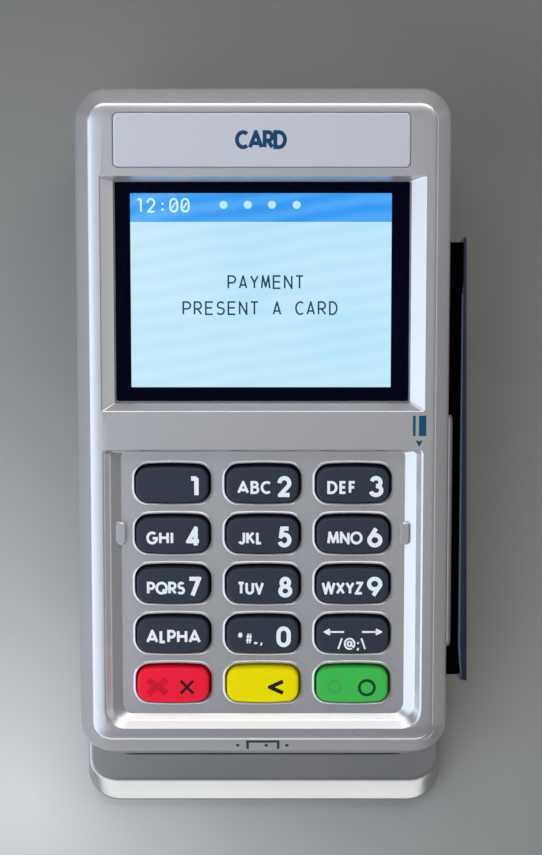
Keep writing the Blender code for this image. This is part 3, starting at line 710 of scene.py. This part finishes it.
# Each glyph is (width, strokes) on a height of 1. A point is x,y and an arc is cx,cy,rx,ry,start,end,steps.
# A bar starts another stroke, and an o joins its ends.
GLYPHS = {
    "A": (0.88, "0,0 .44,1 .88,0|.14,.27 .74,.27"),
    "B": (0.58, "0,.5 0,1 .3,.77,.22,.23,90,-90,14 0,.54|0,.54 .32,.27,.26,.27,90,-90,14 0,0 0,.54"),
    "C": (0.75, ".46,.5,.46,.5,50,310,24"),
    "D": (0.72, "0,0 0,1 .26,.5,.46,.5,90,-90,18 o"),
    "E": (0.46, ".46,1 0,1 0,0 .46,0|0,.52 .42,.52"),
    "F": (0.44, ".44,1 0,1 0,0|0,.52 .4,.52"),
    "G": (0.80, ".44,.5,.44,.5,50,352,26 .87,.47 .48,.47"),
    "H": (0.70, "0,0 0,1|.7,0 .7,1|0,.52 .7,.52"),
    "I": (0.0, "0,0 0,1"),
    "J": (0.42, ".42,1 .21,.22,.21,.22,0,-165,12"),
    "K": (0.60, "0,0 0,1|.56,1 .02,.45|.18,.61 .6,0"),
    "L": (0.36, "0,1 0,0 .36,0"),
    "M": (0.92, "0,0 .13,1 .46,.12 .79,1 .92,0"),
    "N": (0.68, "0,0 0,1 .68,0 .68,1"),
    "O": (0.94, ".47,.5,.47,.5,90,450,28 o"),
    "P": (0.54, "0,0 0,1 .28,.72,.27,.28,90,-90,14 0,.44"),
    "Q": (0.94, ".47,.5,.47,.5,90,450,28 o|.56,.36 .94,0"),
    "R": (0.58, "0,0 0,1 .28,.72,.27,.28,90,-90,14 0,.44|.24,.44 .58,0"),
    "S": (0.50, ".27,.745,.235,.255,35,240,14 .24,.265,.26,.265,60,-150,14"),
    "T": (0.52, "0,1 .52,1|.26,1 .26,0"),
    "U": (0.60, "0,1 .3,.3,.3,.3,180,360,16 .6,1"),
    "V": (0.68, "0,1 .34,0 .68,1"),
    "W": (1.10, "0,1 .28,0 .55,1 .82,0 1.1,1"),
    "X": (0.64, "0,0 .64,1|0,1 .64,0"),
    "Y": (0.64, "0,1 .32,.46 .64,1|.32,.5 .32,0"),
    "Z": (0.56, "0,1 .56,1 0,0 .56,0"),
    "0": (0.60, ".6,.62 .3,.66,.3,.34,0,180,14 .3,.34,.3,.34,180,360,14 o"),
    "1": (0.20, ".2,0 .2,1|-.1,.96 .22,.96"),
    "2": (0.60, ".29,.7,.29,.3,180,-32,16 .04,0 .6,0"),
    "3": (0.58, ".28,.745,.25,.255,165,-85,14|.28,.27,.3,.27,90,-165,16"),
    "4": (0.66, ".46,0 .46,1 .02,.25 .66,.25"),
    "5": (0.60, ".54,1 .16,1 .09,.54 .29,.32,.3,.32,122,-160,16"),
    "6": (0.62, ".31,.31,.31,.31,90,450,24 o|.05,.46 .38,1"),
    "7": (0.56, "0,1 .56,1 .18,0"),
    "8": (0.58, ".29,.765,.22,.235,90,450,22 o|.29,.27,.29,.27,90,450,24 o"),
    "9": (0.62, ".31,.69,.31,.31,90,450,24 o|.57,.54 .24,0"),
    "*": (0.40, ".2,.58 .2,1.02|0,.69 .4,.91|0,.91 .4,.69"),
    "#": (0.56, ".12,0 .2,1|.36,0 .44,1|-.02,.32 .54,.32|.02,.68 .58,.68"),
    ".": (0.10, "-.03,.03 .18,.03"),
    ",": (0.12, ".12,.08 0,-.24"),
    ":": (0.12, "-.02,.16 .16,.16|-.02,.62 .16,.62"),
    ";": (0.12, "-.02,.56 .17,.56|.12,.06 0,-.22"),
    "/": (0.38, "0,-.05 .38,1.05"),
    "\\": (0.38, "0,1.05 .38,-.05"),
    "@": (1.0, ".5,.48,.5,.54,-48,300,26|.48,.48,.2,.23,0,360,14 o|.7,.72 .69,.3 .84,.22"),
    "<": (0.80, ".8,.92 0,.48 .8,.04"),
    " ": (0.34, ""),
}
SHARPEST_MITRE = 1.5
LEAST_SPACE = 0.62


def glyph_strokes(text):
    """The (points, closed) of each stroke of a glyph."""
    strokes = []
    for line in filter(None, text.split("|")):
        tokens = line.split()
        closed = tokens[-1] == "o"
        points = []
        for token in tokens[:len(tokens) - closed]:
            numbers = [float(number) for number in token.split(",")]
            points += [tuple(numbers)] if len(numbers) == 2 else arc(*numbers[:6], int(numbers[6]))
        if closed and math.dist(points[0], points[-1]) < 1e-6:
            points.pop()
        strokes.append((points, closed))
    return strokes


def stroke(path, width, closed=False):
    """Flat patches that together cover a line of this width along the path, with its corners filled."""
    points = [Vector(point) for point in path]
    half = width / 2.0
    count = len(points)
    patches = []
    for i in range(count if closed else count - 1):
        a = points[i]
        b = points[(i + 1) % count]
        along = (b - a).normalized()
        side = Vector((-along.y, along.x)) * half
        parts = max(1, math.ceil((b - a).length / 0.7))
        for k in range(parts):
            p = a.lerp(b, k / parts)
            q = a.lerp(b, (k + 1) / parts)
            patches.append([p - side, q - side, q + side, p + side])
    for i in range(0 if closed else 1, count if closed else count - 1):
        here = points[i]
        before = (here - points[i - 1]).normalized()
        after = (points[(i + 1) % count] - here).normalized()
        turn = before.x * after.y - before.y * after.x
        if abs(turn) < 1e-3:
            continue
        outside = -half if turn > 0.0 else half
        one = Vector((-before.y, before.x)) * outside
        two = Vector((-after.y, after.x)) * outside
        middle = (one + two).normalized()
        mitre = half / max(0.05, middle.dot(one) / half)
        if mitre <= SHARPEST_MITRE * half:
            corner = [here, here + one, here + middle * mitre, here + two]
        else:
            corner = [here, here + one, here + one + before * half * 0.75, here + two - after * half * 0.75,
                      here + two]
        if turn < 0.0:
            corner.reverse()
        patches.append(corner)
    return patches


def text_width(text, height, spacing, squeeze=1.0):
    return sum(GLYPHS[c][0] * height * squeeze for c in text) + spacing * (len(text) - 1)


def lettering(text, x, y, height, width, spacing, squeeze=1.0, cell=None):
    """Patches for a line of text whose strokes' centre lines start at x and stand on y."""
    patches = []
    for character in text:
        advance, strokes = GLYPHS[character]
        scale_x = height * squeeze
        offset = 0.0
        if cell is not None:
            if advance > 0.3:
                scale_x = cell * (0.70 if character in "WM" else 0.62) / advance
            offset = (cell - advance * scale_x) / 2.0
        for points, closed in glyph_strokes(strokes):
            path = [(x + offset + px * scale_x, y + py * height) for px, py in points]
            patches += stroke(path, width, closed)
        x += cell if cell is not None else advance * scale_x + spacing
    return patches


def fitted(text, x0, x1, y, height, width, squeeze=1.0):
    """Lettering spaced out so that its ink runs from x0 to x1."""
    room = x1 - x0 - width
    bare = text_width(text, height, 0.0, squeeze)
    if room - bare < LEAST_SPACE * (len(text) - 1):
        squeeze *= (room - LEAST_SPACE * (len(text) - 1)) / bare
        bare = text_width(text, height, 0.0, squeeze)
    return lettering(text, x0 + width / 2.0, y, height, width, (room - bare) / max(1, len(text) - 1), squeeze)


def printed(patches, drop, lift, sink=0.06):
    """One closed thin layer over the patches, following the surface height drop(x, y)."""
    corners = []
    rings = []
    for patch in patches:
        rings.append(list(range(len(corners), len(corners) + len(patch))))
        corners += [Vector((point.x, point.y)) for point in patch]
    flat, _, cells, _, _, sources = delaunay_2d_cdt(corners, [], rings, 0, 1e-5, True)
    kept = [cell for cell, source in zip(cells, sources) if source]
    used = sorted({i for cell in kept for i in cell})
    place = {old: new for new, old in enumerate(used)}
    count = len(used)
    heights = [drop(flat[i].x, flat[i].y) for i in used]
    points = [(flat[i].x, flat[i].y, height + lift) for i, height in zip(used, heights)]
    points += [(flat[i].x, flat[i].y, height - sink) for i, height in zip(used, heights)]
    faces = []
    edges = {}
    for cell in kept:
        cell = [place[i] for i in cell]
        a, b, c = (flat[used[i]] for i in cell[:3])
        if (b.x - a.x) * (c.y - a.y) - (b.y - a.y) * (c.x - a.x) < 0.0:
            cell.reverse()
        faces.append(cell)
        faces.append([i + count for i in reversed(cell)])
        for i, j in zip(cell, cell[1:] + cell[:1]):
            edges[(i, j)] = True
    for i, j in edges:
        if (j, i) not in edges:
            faces.append([j, i, i + count, j + count])
    return points, faces


def surface_under(obj, matrix):
    """Function giving the height of the piece's surface over (u, v) in the frame of the matrix."""
    tree = BVHTree.FromObject(obj, bpy.context.evaluated_depsgraph_get())
    inverse = matrix.inverted()
    down = (matrix.to_3x3() @ Vector((0.0, 0.0, -1.0))).normalized()

    def height(x, y):
        start = (matrix @ Vector((x, y, 30.0))) * MM
        hit = tree.ray_cast(start, down)[0]
        return (inverse @ (hit / MM)).z if hit is not None else 0.0

    return height


# ---- keys

CAP_SHIFT = (-0.14, -0.22)


def key_cap(name, row, column, material):
    u, v = key_place(row, column)
    rings = [level(key_outline(grow), w) for grow, w in
             ((-0.8, KEY_BOTTOM), (-0.6, KEY_BOTTOM + 0.2), (-0.6, -5.61), (1.0, -5.6), (1.0, -4.6), (0.0, -4.59))]
    for grow, w in ((-0.30, -2.7), (-0.30, -1.7), (-0.32, -1.42), (-0.37, -1.24), (-0.45, -1.11), (-0.57, -1.03),
                    (-0.74, -0.985), (-1.0, -0.96), (-1.5, -0.945)):
        rim = [(x + CAP_SHIFT[0], y + CAP_SHIFT[1]) for x, y in key_outline(grow)]
        rings.append(level(rim, w))
    for share, w in ((0.86, -0.93), (0.66, -0.915), (0.40, -0.906), (0.16, -0.902)):
        rings.append(level([(x * share, y * share) for x, y in rim], w))
    place = FACE @ Matrix.Translation((u, v, 0.0))
    return piece(name + "_cap", loft(rings), place, name + "_body", material, (name,)), place


def legend(name, body, patches, place, drop, material, lift=0.02, sink=0.06):
    return piece(name, printed(patches, drop, lift, sink), place, body, material)


# Letters with the left and right ends of their ink, then the digit and its own ends
KEY_TEXT = {
    "key_1": ("", 0.0, 0.0, "1", 4.1, 5.65), "key_2": ("ABC", -5.6, 1.75, "2", 3.1, 6.2),
    "key_3": ("DEF", -5.7, 0.5, "3", 3.3, 6.45), "key_4": ("GHI", -5.75, 0.1, "4", 2.85, 6.15),
    "key_5": ("JKL", -5.4, -0.15, "5", 3.1, 6.2), "key_6": ("MNO", -5.7, 2.0, "6", 3.0, 6.3),
    "key_7": ("PQRS", -5.7, 2.6, "7", 3.1, 6.1), "key_8": ("TUV", -5.65, 0.2, "8", 3.3, 6.35),
    "key_9": ("WXYZ", -6.9, 2.2, "9", 3.0, 6.35), "key_0": ("*#.,", -5.6, -0.1, "0", 2.9, 6.05),
}
LETTER_HEIGHT = 2.28
LETTER_STROKE = 0.57
DIGIT_HEIGHT = 3.7
DIGIT_STROKE = 0.92


KEY_LOOKS = ((RED, "red_key"), (YELLOW, "yellow_key"), (GREEN, "green_key"))


def number_marks(name):
    """The digit of a number key, with its letters to the left of it."""
    letters, start, end, digit, low, high = KEY_TEXT[name]
    if digit == "1":
        return lettering(digit, 4.42, -2.4, DIGIT_HEIGHT + 0.1, DIGIT_STROKE + 0.05, 0.0)
    squeeze = (high - low - DIGIT_STROKE) / (GLYPHS[digit][0] * DIGIT_HEIGHT)
    base = -2.3 if digit == "0" else -2.36
    marks = lettering(digit, low + DIGIT_STROKE / 2.0, base, DIGIT_HEIGHT, DIGIT_STROKE, 0.0, squeeze)
    if digit == "0":
        marks += fitted(letters, start, end, -1.9, 2.15, 0.34)
        return marks + stroke([(-5.3, 0.1), (-4.6, 0.1)], 0.7) + stroke([(-1.95, -1.85), (-1.4, -1.85)], 0.5)
    return marks + fitted(letters, start, end, -1.86, LETTER_HEIGHT, LETTER_STROKE)


def arrow_marks():
    marks = fitted("/@;\\", -3.4, 2.85, -3.05, 2.15, 0.40)
    for side in (-1.0, 1.0):
        tip = side * 6.05
        marks += stroke([(side * 1.95, 0.62), (tip, 0.62)], 0.40)
        marks += stroke([(tip - side * 1.05, 1.2), (tip + side * 0.1, 0.62), (tip - side * 1.05, 0.04)], 0.42)
    return marks


def cross(x0, x1, low, high, width):
    return stroke([(x0, low), (x1, high)], width) + stroke([(x0, high), (x1, low)], width)


def ring(cx, cy, rx, ry, width, steps):
    return stroke(arc(cx, cy, rx, ry, 0, 360, steps)[:-1], width, True)


def build_keys():
    for row, names in enumerate(KEY_NAMES):
        for column, name in enumerate(names):
            material, slot = (SLATE, "slate_key") if row < 4 else KEY_LOOKS[column]
            cap, place = key_cap(name, row, column, material)
            drop = surface_under(cap, place)
            body = name + "_body"
            colour = LEGEND
            if name in KEY_TEXT:
                marks = number_marks(name)
            elif name == "key_alpha":
                marks = fitted("ALPHA", -5.95, 6.0, -1.6, 2.4, 0.6)
            elif name == "key_arrows":
                marks = arrow_marks()
            elif name == "key_cancel":
                colour = LEGEND_DARK
                marks = cross(1.55, 4.3, -2.05, 0.8, 0.62)
                rough = cross(-5.55, -1.5, -2.05, 0.95, 1.35)
                legend("key_cancel_texture", body, rough, place, drop, RED_DARK, 0.06)
            elif name == "key_clear":
                colour = LEGEND_DARK
                marks = lettering("<", 1.5, -2.05, 2.95, 0.86, 0.0, 1.2)
            elif name == "key_enter":
                colour = LEGEND_GREEN
                marks = ring(3.1, -0.75, 1.66, 1.62, 0.62, 40)
                rough = ring(-4.0, -0.6, 1.3, 1.25, 0.6, 36)
                legend("key_enter_texture", body, rough, place, drop, GREEN_DARK, 0.07)
            legend(name + "_legend", body, marks, place, drop, colour)
            if name == "key_5":
                nib = loft([level(circle(2.2, 1.9, radius, 20), w)
                            for radius, w in ((0.34, -1.3), (0.30, -0.98), (0.16, -0.9))])
                piece("key_5_nib", nib, place, body, SLATE)


# ---- display, plate and printed marks

# Levels of the picture behind the window, and the clock and message lines in it
PICTURE_LEVEL = -3.8
INK_LEVEL = -3.76
CLOCK = ("12:00", -27.65, 46.15)
CLOCK_HEIGHT = 2.72
CLOCK_CELL = 2.44
MESSAGE = (("PAYMENT", -7.93, 29.75), ("PRESENT A CARD", -17.65, 24.15))
MESSAGE_HEIGHT = 2.64
MESSAGE_CELL = 2.43


def build_display():
    glass = loft([level(grown(GLASS, -inset, radius), -DISPLAY_DEPTH - down) for inset, radius, down in
                  ((0.0, 0.4, GLASS_THICK), (0.0, 0.4, 0.16), (0.05, 0.38, 0.05), (0.16, 0.34, 0.0))])
    piece("window", glass, FACE, "terminal", WINDOW, ("display_window",))
    border = prism(grown(GLASS, -0.05, 0.4), -3.64, -3.54)
    hole = prism(grown(PICTURE, 0.0, 0.12), -5.0, -2.0)
    mesh = carved("window_border", border, FACE, ((hole, FACE, CUT),))
    finish_piece("window_border", mesh, "terminal", MASK_BLACK)
    ground = prism(grown(LCD, 0.0, 0.4), -5.9, PICTURE_LEVEL)
    piece("picture_ground", ground, FACE, "terminal", PICTURE_PALE, ("lcd_panel",))
    p0, p1, _, p3 = PICTURE
    bar = prism(rectangle(p0 - 0.3, p1 + 0.3, 43.95, p3 + 0.3, 0.05), -3.85, -3.775)
    piece("picture_status_bar", bar, FACE, "terminal", PICTURE_BAR)

    def flat(u, v):
        return INK_LEVEL

    text, left, base = CLOCK
    time = lettering(text, left, base, CLOCK_HEIGHT, 0.42, 0.0, 1.0, CLOCK_CELL)
    for x in (left + 3 * CLOCK_CELL, left + 4 * CLOCK_CELL):
        time += stroke([(x + 0.82, base + 0.75), (x + 1.62, base + 1.95)], 0.3)
    legend("picture_clock", "terminal", time, FACE, flat, PICTURE_WHITE, 0.006, 0.08)
    dots = [cylinder(u, 47.6, 0.86, -3.82, -3.75, 32) for u in (-8.47, -3.25, 1.93, 7.22)]
    piece("picture_dots", joined(dots), FACE, "terminal", PICTURE_DOT)
    words = []
    for text, left, base in MESSAGE:
        words += lettering(text, left, base, MESSAGE_HEIGHT, 0.36, 0.0, 1.0, MESSAGE_CELL)
    legend("picture_words", "terminal", words, FACE, flat, PICTURE_INK, 0.004, 0.08)


def build_plate(cover):
    shape = loft([level(grown(PLATE, -inset, radius, 8), w) for inset, radius, w in
                  ((0.0, 1.0, -0.6), (0.0, 1.0, -0.10), (0.05, 0.96, 0.02), (0.16, 0.9, 0.09), (0.4, 0.8, 0.1))])
    plate = piece("label_plate", shape, FACE, "terminal", PLATE_PAINT, ("name_plate",))
    drop = surface_under(plate, FACE)
    word = fitted("CARD", -5.9, 5.1, 59.72, 3.14, 0.84, 0.92)
    legend("label_plate_word", "terminal", word, FACE, drop, INK_BLUE, 0.015)

    skin = surface_under(cover, FACE)
    bars = stroke([(32.55, 2.55), (32.55, -1.85)], 0.6) + stroke([(34.35, 2.55), (34.35, -1.85)], 1.6)
    legend("swipe_mark", "terminal", bars, FACE, skin, INK_TEAL)
    arrow = [[Vector((33.62, -4.25)), Vector((34.4, -2.75)), Vector((33.62, -3.0)), Vector((32.85, -2.75))]]
    legend("swipe_arrow", "terminal", arrow, FACE, skin, INK_GREY)
    top = surface_under(cover, ROOT)
    card = stroke([(-3.45, -70.95), (-3.45, -69.0), (3.3, -69.0), (3.3, -70.95)], 0.56)
    for x in (-5.6, 0.65, 5.2):
        card += stroke([(x - 0.36, -70.0), (x + 0.36, -70.0)], 0.62)
    legend("card_mark", "terminal", card, ROOT, top, INK_GREY, 0.06, 0.12)


# ---- swipe reader and feet

RAIL_TAPER = 1.0
RAIL_MOUTH = 30.2


def rail_plan(x, y):
    """The guide wall's outer side leans in slightly towards its rear end."""
    outward = between(0.0, 1.0, (x - RAIL_INNER) / (RAIL_OUTER - RAIL_INNER))
    return x - RAIL_TAPER * outward * (y - RAIL_FRONT) / (RAIL_REAR - RAIL_FRONT), y


def build_swipe_reader():
    outer = RAIL_OUTER
    ends = 9.0
    wall = [(outer - 0.5, RAIL_FRONT), (outer - 0.15, RAIL_FRONT + 0.15), (outer, RAIL_FRONT + 0.5)]
    wall += [(outer, -30.0), (outer, 0.0), (outer, RAIL_MOUTH), (outer, RAIL_REAR - 0.5)]
    wall += [(outer - 0.15, RAIL_REAR - 0.15), (outer - 0.5, RAIL_REAR), (RAIL_INNER + 0.75, RAIL_REAR)]
    wall += [(RAIL_INNER + 0.60, RAIL_REAR - 3.5), (RAIL_INNER + 0.52, RAIL_MOUTH + 1.6)]
    wall += [(RAIL_INNER + 0.40, RAIL_MOUTH + 0.7), (RAIL_INNER + 0.12, RAIL_MOUTH - 0.5)]
    wall += [(RAIL_INNER, RAIL_MOUTH - 1.4), (RAIL_INNER, 10.0), (RAIL_INNER, -20.0)]
    for i in range(8, -1, -1):
        share = i / 8.0
        wall.append((RAIL_INNER + 0.8 * (1.0 - share) ** 1.6, RAIL_FRONT + ends * share))
    wall = [rail_plan(x, y) for x, y in wall]
    middle = (RAIL_INNER + outer) / 2.0 + 0.1

    def crest(scale):
        ring = []
        for x, y in wall:
            centre = rail_plan(middle, y)[0]
            ring.append((centre + (x - centre) * scale, y * (1.0 - (1.0 - scale) * 0.01)))
        return ring

    def ramped(outline, depth):
        """Follows the face, and falls away over the last stretch before the rear end."""
        return [(x, y, z - 0.85 * between(0.0, 1.0, (y - 29.2) / 1.7)) for x, y, z in sloped(outline, depth)]

    low = RAIL_FLOOR_DEPTH + RAIL_FLOOR
    top = RAIL_TOP_DEPTH
    shape = loft([sloped(crest(0.9), low), sloped(wall, low - 0.2), ramped(wall, top + 0.26),
                  ramped(crest(0.96), top + 0.16), ramped(crest(0.56), top + 0.015), ramped(crest(0.48), top)])
    plan = rectangle(HALF_WIDTH + 0.3, outer - 0.6, RAIL_FRONT + 0.3, RAIL_REAR - 0.3, 0.4, 3)
    floor_outline = [rail_plan(x, y) for x, y in plan]
    floor = loft([sloped(floor_outline, low - 0.05), sloped(floor_outline, RAIL_FLOOR_DEPTH)])
    tab_outline = rectangle(37.0, 42.5, -46.0, 34.0, 0.3, 3)
    tab = loft([sloped(tab_outline, low - 0.1), sloped(tab_outline, RAIL_FLOOR_DEPTH + 0.1)])
    piece("card_rail", shape, ROOT, "terminal", RAIL_BLACK_BLUE_SHEEN, ("swipe_rail",), 25.0)
    mesh = carved("card_rail_floor", floor, ROOT, ((tab, ROOT, ADD),))
    finish_piece("card_rail_floor", mesh, "terminal", SLOT_BLACK)

    z = face_height(HEAD_Y) - HEAD_DEPTH
    turn = Matrix(((0, 0, 1, 0), (1, 0, 0, 0), (0, 1, 0, 0), (0, 0, 0, 1)))
    place = ROOT @ Matrix.Translation((40.6, HEAD_Y, z)) @ turn
    rings = [level(rectangle(-3.7, 3.7, -2.4, 1.4, 0.5), -2.2)]
    for i in range(9):
        angle = math.radians(90.0 * i / 8.0)
        half = 3.7 - 3.1 * (1.0 - math.cos(angle)) ** 0.8
        outline = rectangle(-half, half, -2.4 + 0.3 * i / 8.0, 1.4 - 0.3 * i / 8.0, 0.4)
        rings.append(level(outline, 0.4 + 0.6 * math.sin(angle)))
    piece("read_head_case", loft(rings), place, "read_head", STEEL, ("magnetic_head",))


def build_feet():
    for name, (x, y) in zip(FOOT_NAMES, FOOT_PLACES):
        rings = [level(circle(0.0, 0.0, radius), w) for radius, w in
                 ((3.6, 0.0), (4.3, 0.04), (4.7, 0.16), (4.92, 0.36), (5.0, 0.6), (5.0, UNDERSIDE + 0.6))]
        place = ROOT @ Matrix.Translation((x, y, 0.0))
        piece(name + "_pad", loft(rings), place, "terminal", RUBBER, (name,))


def dress_inner_nodes():
    looks = (
        (SOLDER_MASK, "contactless_antenna", "main_board"),
        (STEEL, "lcd_frame", "coin_cell", "head_spring", "screw_front_left", "screw_front_right", "screw_rear_left",
         "screw_rear_right"),
        (BLACK_PLASTIC, "chip_reader", "sam_socket", "coin_cell_holder", "sounder", "cable_socket"),
        (SILICONE, "keypad_mat"), (FILM, "dome_sheet"), (GILT, "chip_contacts"),
    )
    for material, *names in looks:
        for name in names:
            materials = frame["nodes"][name].data.materials
            materials.clear()
            materials.append(material)


# ---- surroundings

# Name, place, width and height, power and colour of each light. All are turned to the target.
LIGHT_TARGET = (0.0, 0.0, 0.02)
LIGHTS = (
    ("window_left", (-0.60, -0.26, 0.54), (0.80, 0.85), 4.5, (0.78, 0.88, 1.0)),
    ("window_left_low", (-0.80, -0.12, 0.22), (0.80, 0.26), 0.35, (0.96, 0.98, 1.0)),
    ("upper_left", (-0.52, 0.05, 1.25), (0.45, 0.9), 0.8, (0.75, 0.88, 1.0)),
    ("rear_soft", (0.04, 0.55, 0.56), (0.95, 0.50), 4.2, (1.0, 0.99, 0.955)),
    ("front_soft", (-0.10, -0.72, 0.29), (0.90, 0.26), 1.85, (1.0, 0.995, 0.985)),
    ("right_soft", (0.82, 0.0, 0.34), (0.90, 0.46), 1.0, (1.0, 1.0, 0.98)),
    ("right_high", (0.50, 0.0, 1.05), (0.90, 0.12), 0.25, (1.0, 1.0, 1.0)),
    ("overhead", (0.0, -0.24, 1.5), (1.2, 0.72), 1.05, (1.0, 0.995, 0.99)),
)
FLOOR_HALF = 2.5
# How far the pool of light painted on the floor reaches before it fades to the darkest grey
PAINTED_LIGHT_REACH = 0.30
LENS = 82.2
CAMERA_ABOVE_FACE = 420.0
CAMERA_ASIDE = 1.72


def area_light(name, place, size, power, colour):
    data = bpy.data.lights.new(name, "AREA")
    data.shape = "RECTANGLE"
    data.size, data.size_y = size
    data.energy = power
    data.color = colour
    obj = linked(name, data)
    obj.location = place
    obj.rotation_euler = (Vector(LIGHT_TARGET) - Vector(place)).to_track_quat("-Z", "Y").to_euler()


def floor_with_painted_light():
    """Matt floor whose colour holds a painted pool of light, palest near its front left corner."""
    material, tree, shader = start_material("floor_grey_painted_light")
    place = object_coordinates(tree)
    away = added(tree, "VectorMath")
    away.operation = "DISTANCE"
    plug(away.inputs[0], place)
    plug(away.inputs[1], PAINTED_LIGHT_CENTRE)
    # The ramp paints light into the floor's colour: brightest at the centre, darker further away
    shade = added(tree, "ValToRGB", Fac=ranged(away.outputs["Value"], 0.0, 1.0, 0.0, PAINTED_LIGHT_REACH))
    stops = ((0.0, 0.72), (0.05, 0.44), (0.10, 0.28), (0.15, 0.205), (0.20, 0.15), (0.30, 0.15))
    while len(shade.color_ramp.elements) < len(stops):
        shade.color_ramp.elements.new(0.5)
    for element, (where, value) in zip(shade.color_ramp.elements, stops):
        element.position = where / PAINTED_LIGHT_REACH
        element.color = (value, value, value * 0.985, 1.0)
    fine = noise(place, 300.0, 2.0, 0.5)
    speck = mixed(ranged(fine, 0.0, 1.0), (0.985, 0.985, 0.985), (1.0, 1.0, 1.0))
    settings(shader, Base_Color=multiplied(1.0, shade.outputs["Color"], speck), Roughness=0.5,
             Specular_IOR_Level=0.3)
    return material


def build_surroundings():
    mesh = bpy.data.meshes.new("floor")
    half = FLOOR_HALF
    mesh.from_pydata([(-half, -half, 0.0), (half, -half, 0.0), (half, half, 0.0), (-half, half, 0.0)], [],
                     [(0, 1, 2, 3)])
    floor = linked("floor", mesh)
    mesh.materials.append(floor_with_painted_light())

    for light in LIGHTS:
        area_light(*light)

    world = bpy.data.worlds.new("studio")
    world.use_nodes = True
    tree = world.node_tree
    split = added(tree, "SeparateXYZ", Vector=added(tree, "TexCoord").outputs["Generated"])
    sky = mixed(ranged(split.outputs["Z"], 0.0, 1.0, 0.0, 0.6), (0.34, 0.345, 0.35), (0.07, 0.07, 0.072))
    settings(tree.nodes["Background"], Color=sky)
    bpy.context.scene.world = world
    bpy.context.scene.view_settings.view_transform = "Standard"


def build_camera():
    data = bpy.data.cameras.new("camera")
    data.sensor_width = 36.0
    data.lens = LENS
    data.clip_start = 0.02
    data.clip_end = 10.0
    camera = linked("camera", data)
    camera.location = ((SHIFT[0] + CAMERA_ASIDE) * MM, SHIFT[1] * MM, (FACE_HEIGHT + CAMERA_ABOVE_FACE) * MM)
    camera.rotation_euler = (0.0, 0.0, 0.0)
    bpy.context.scene.camera = camera


for startup in list(bpy.data.objects):
    if startup.name in ("Cube", "Light", "Camera"):
        bpy.data.objects.remove(startup, do_unlink=True)
upper = build_top_cover()
build_bottom_cover()
build_keys()
build_display()
build_plate(upper)
build_swipe_reader()
build_feet()
dress_inner_nodes()
build_surroundings()
build_camera()
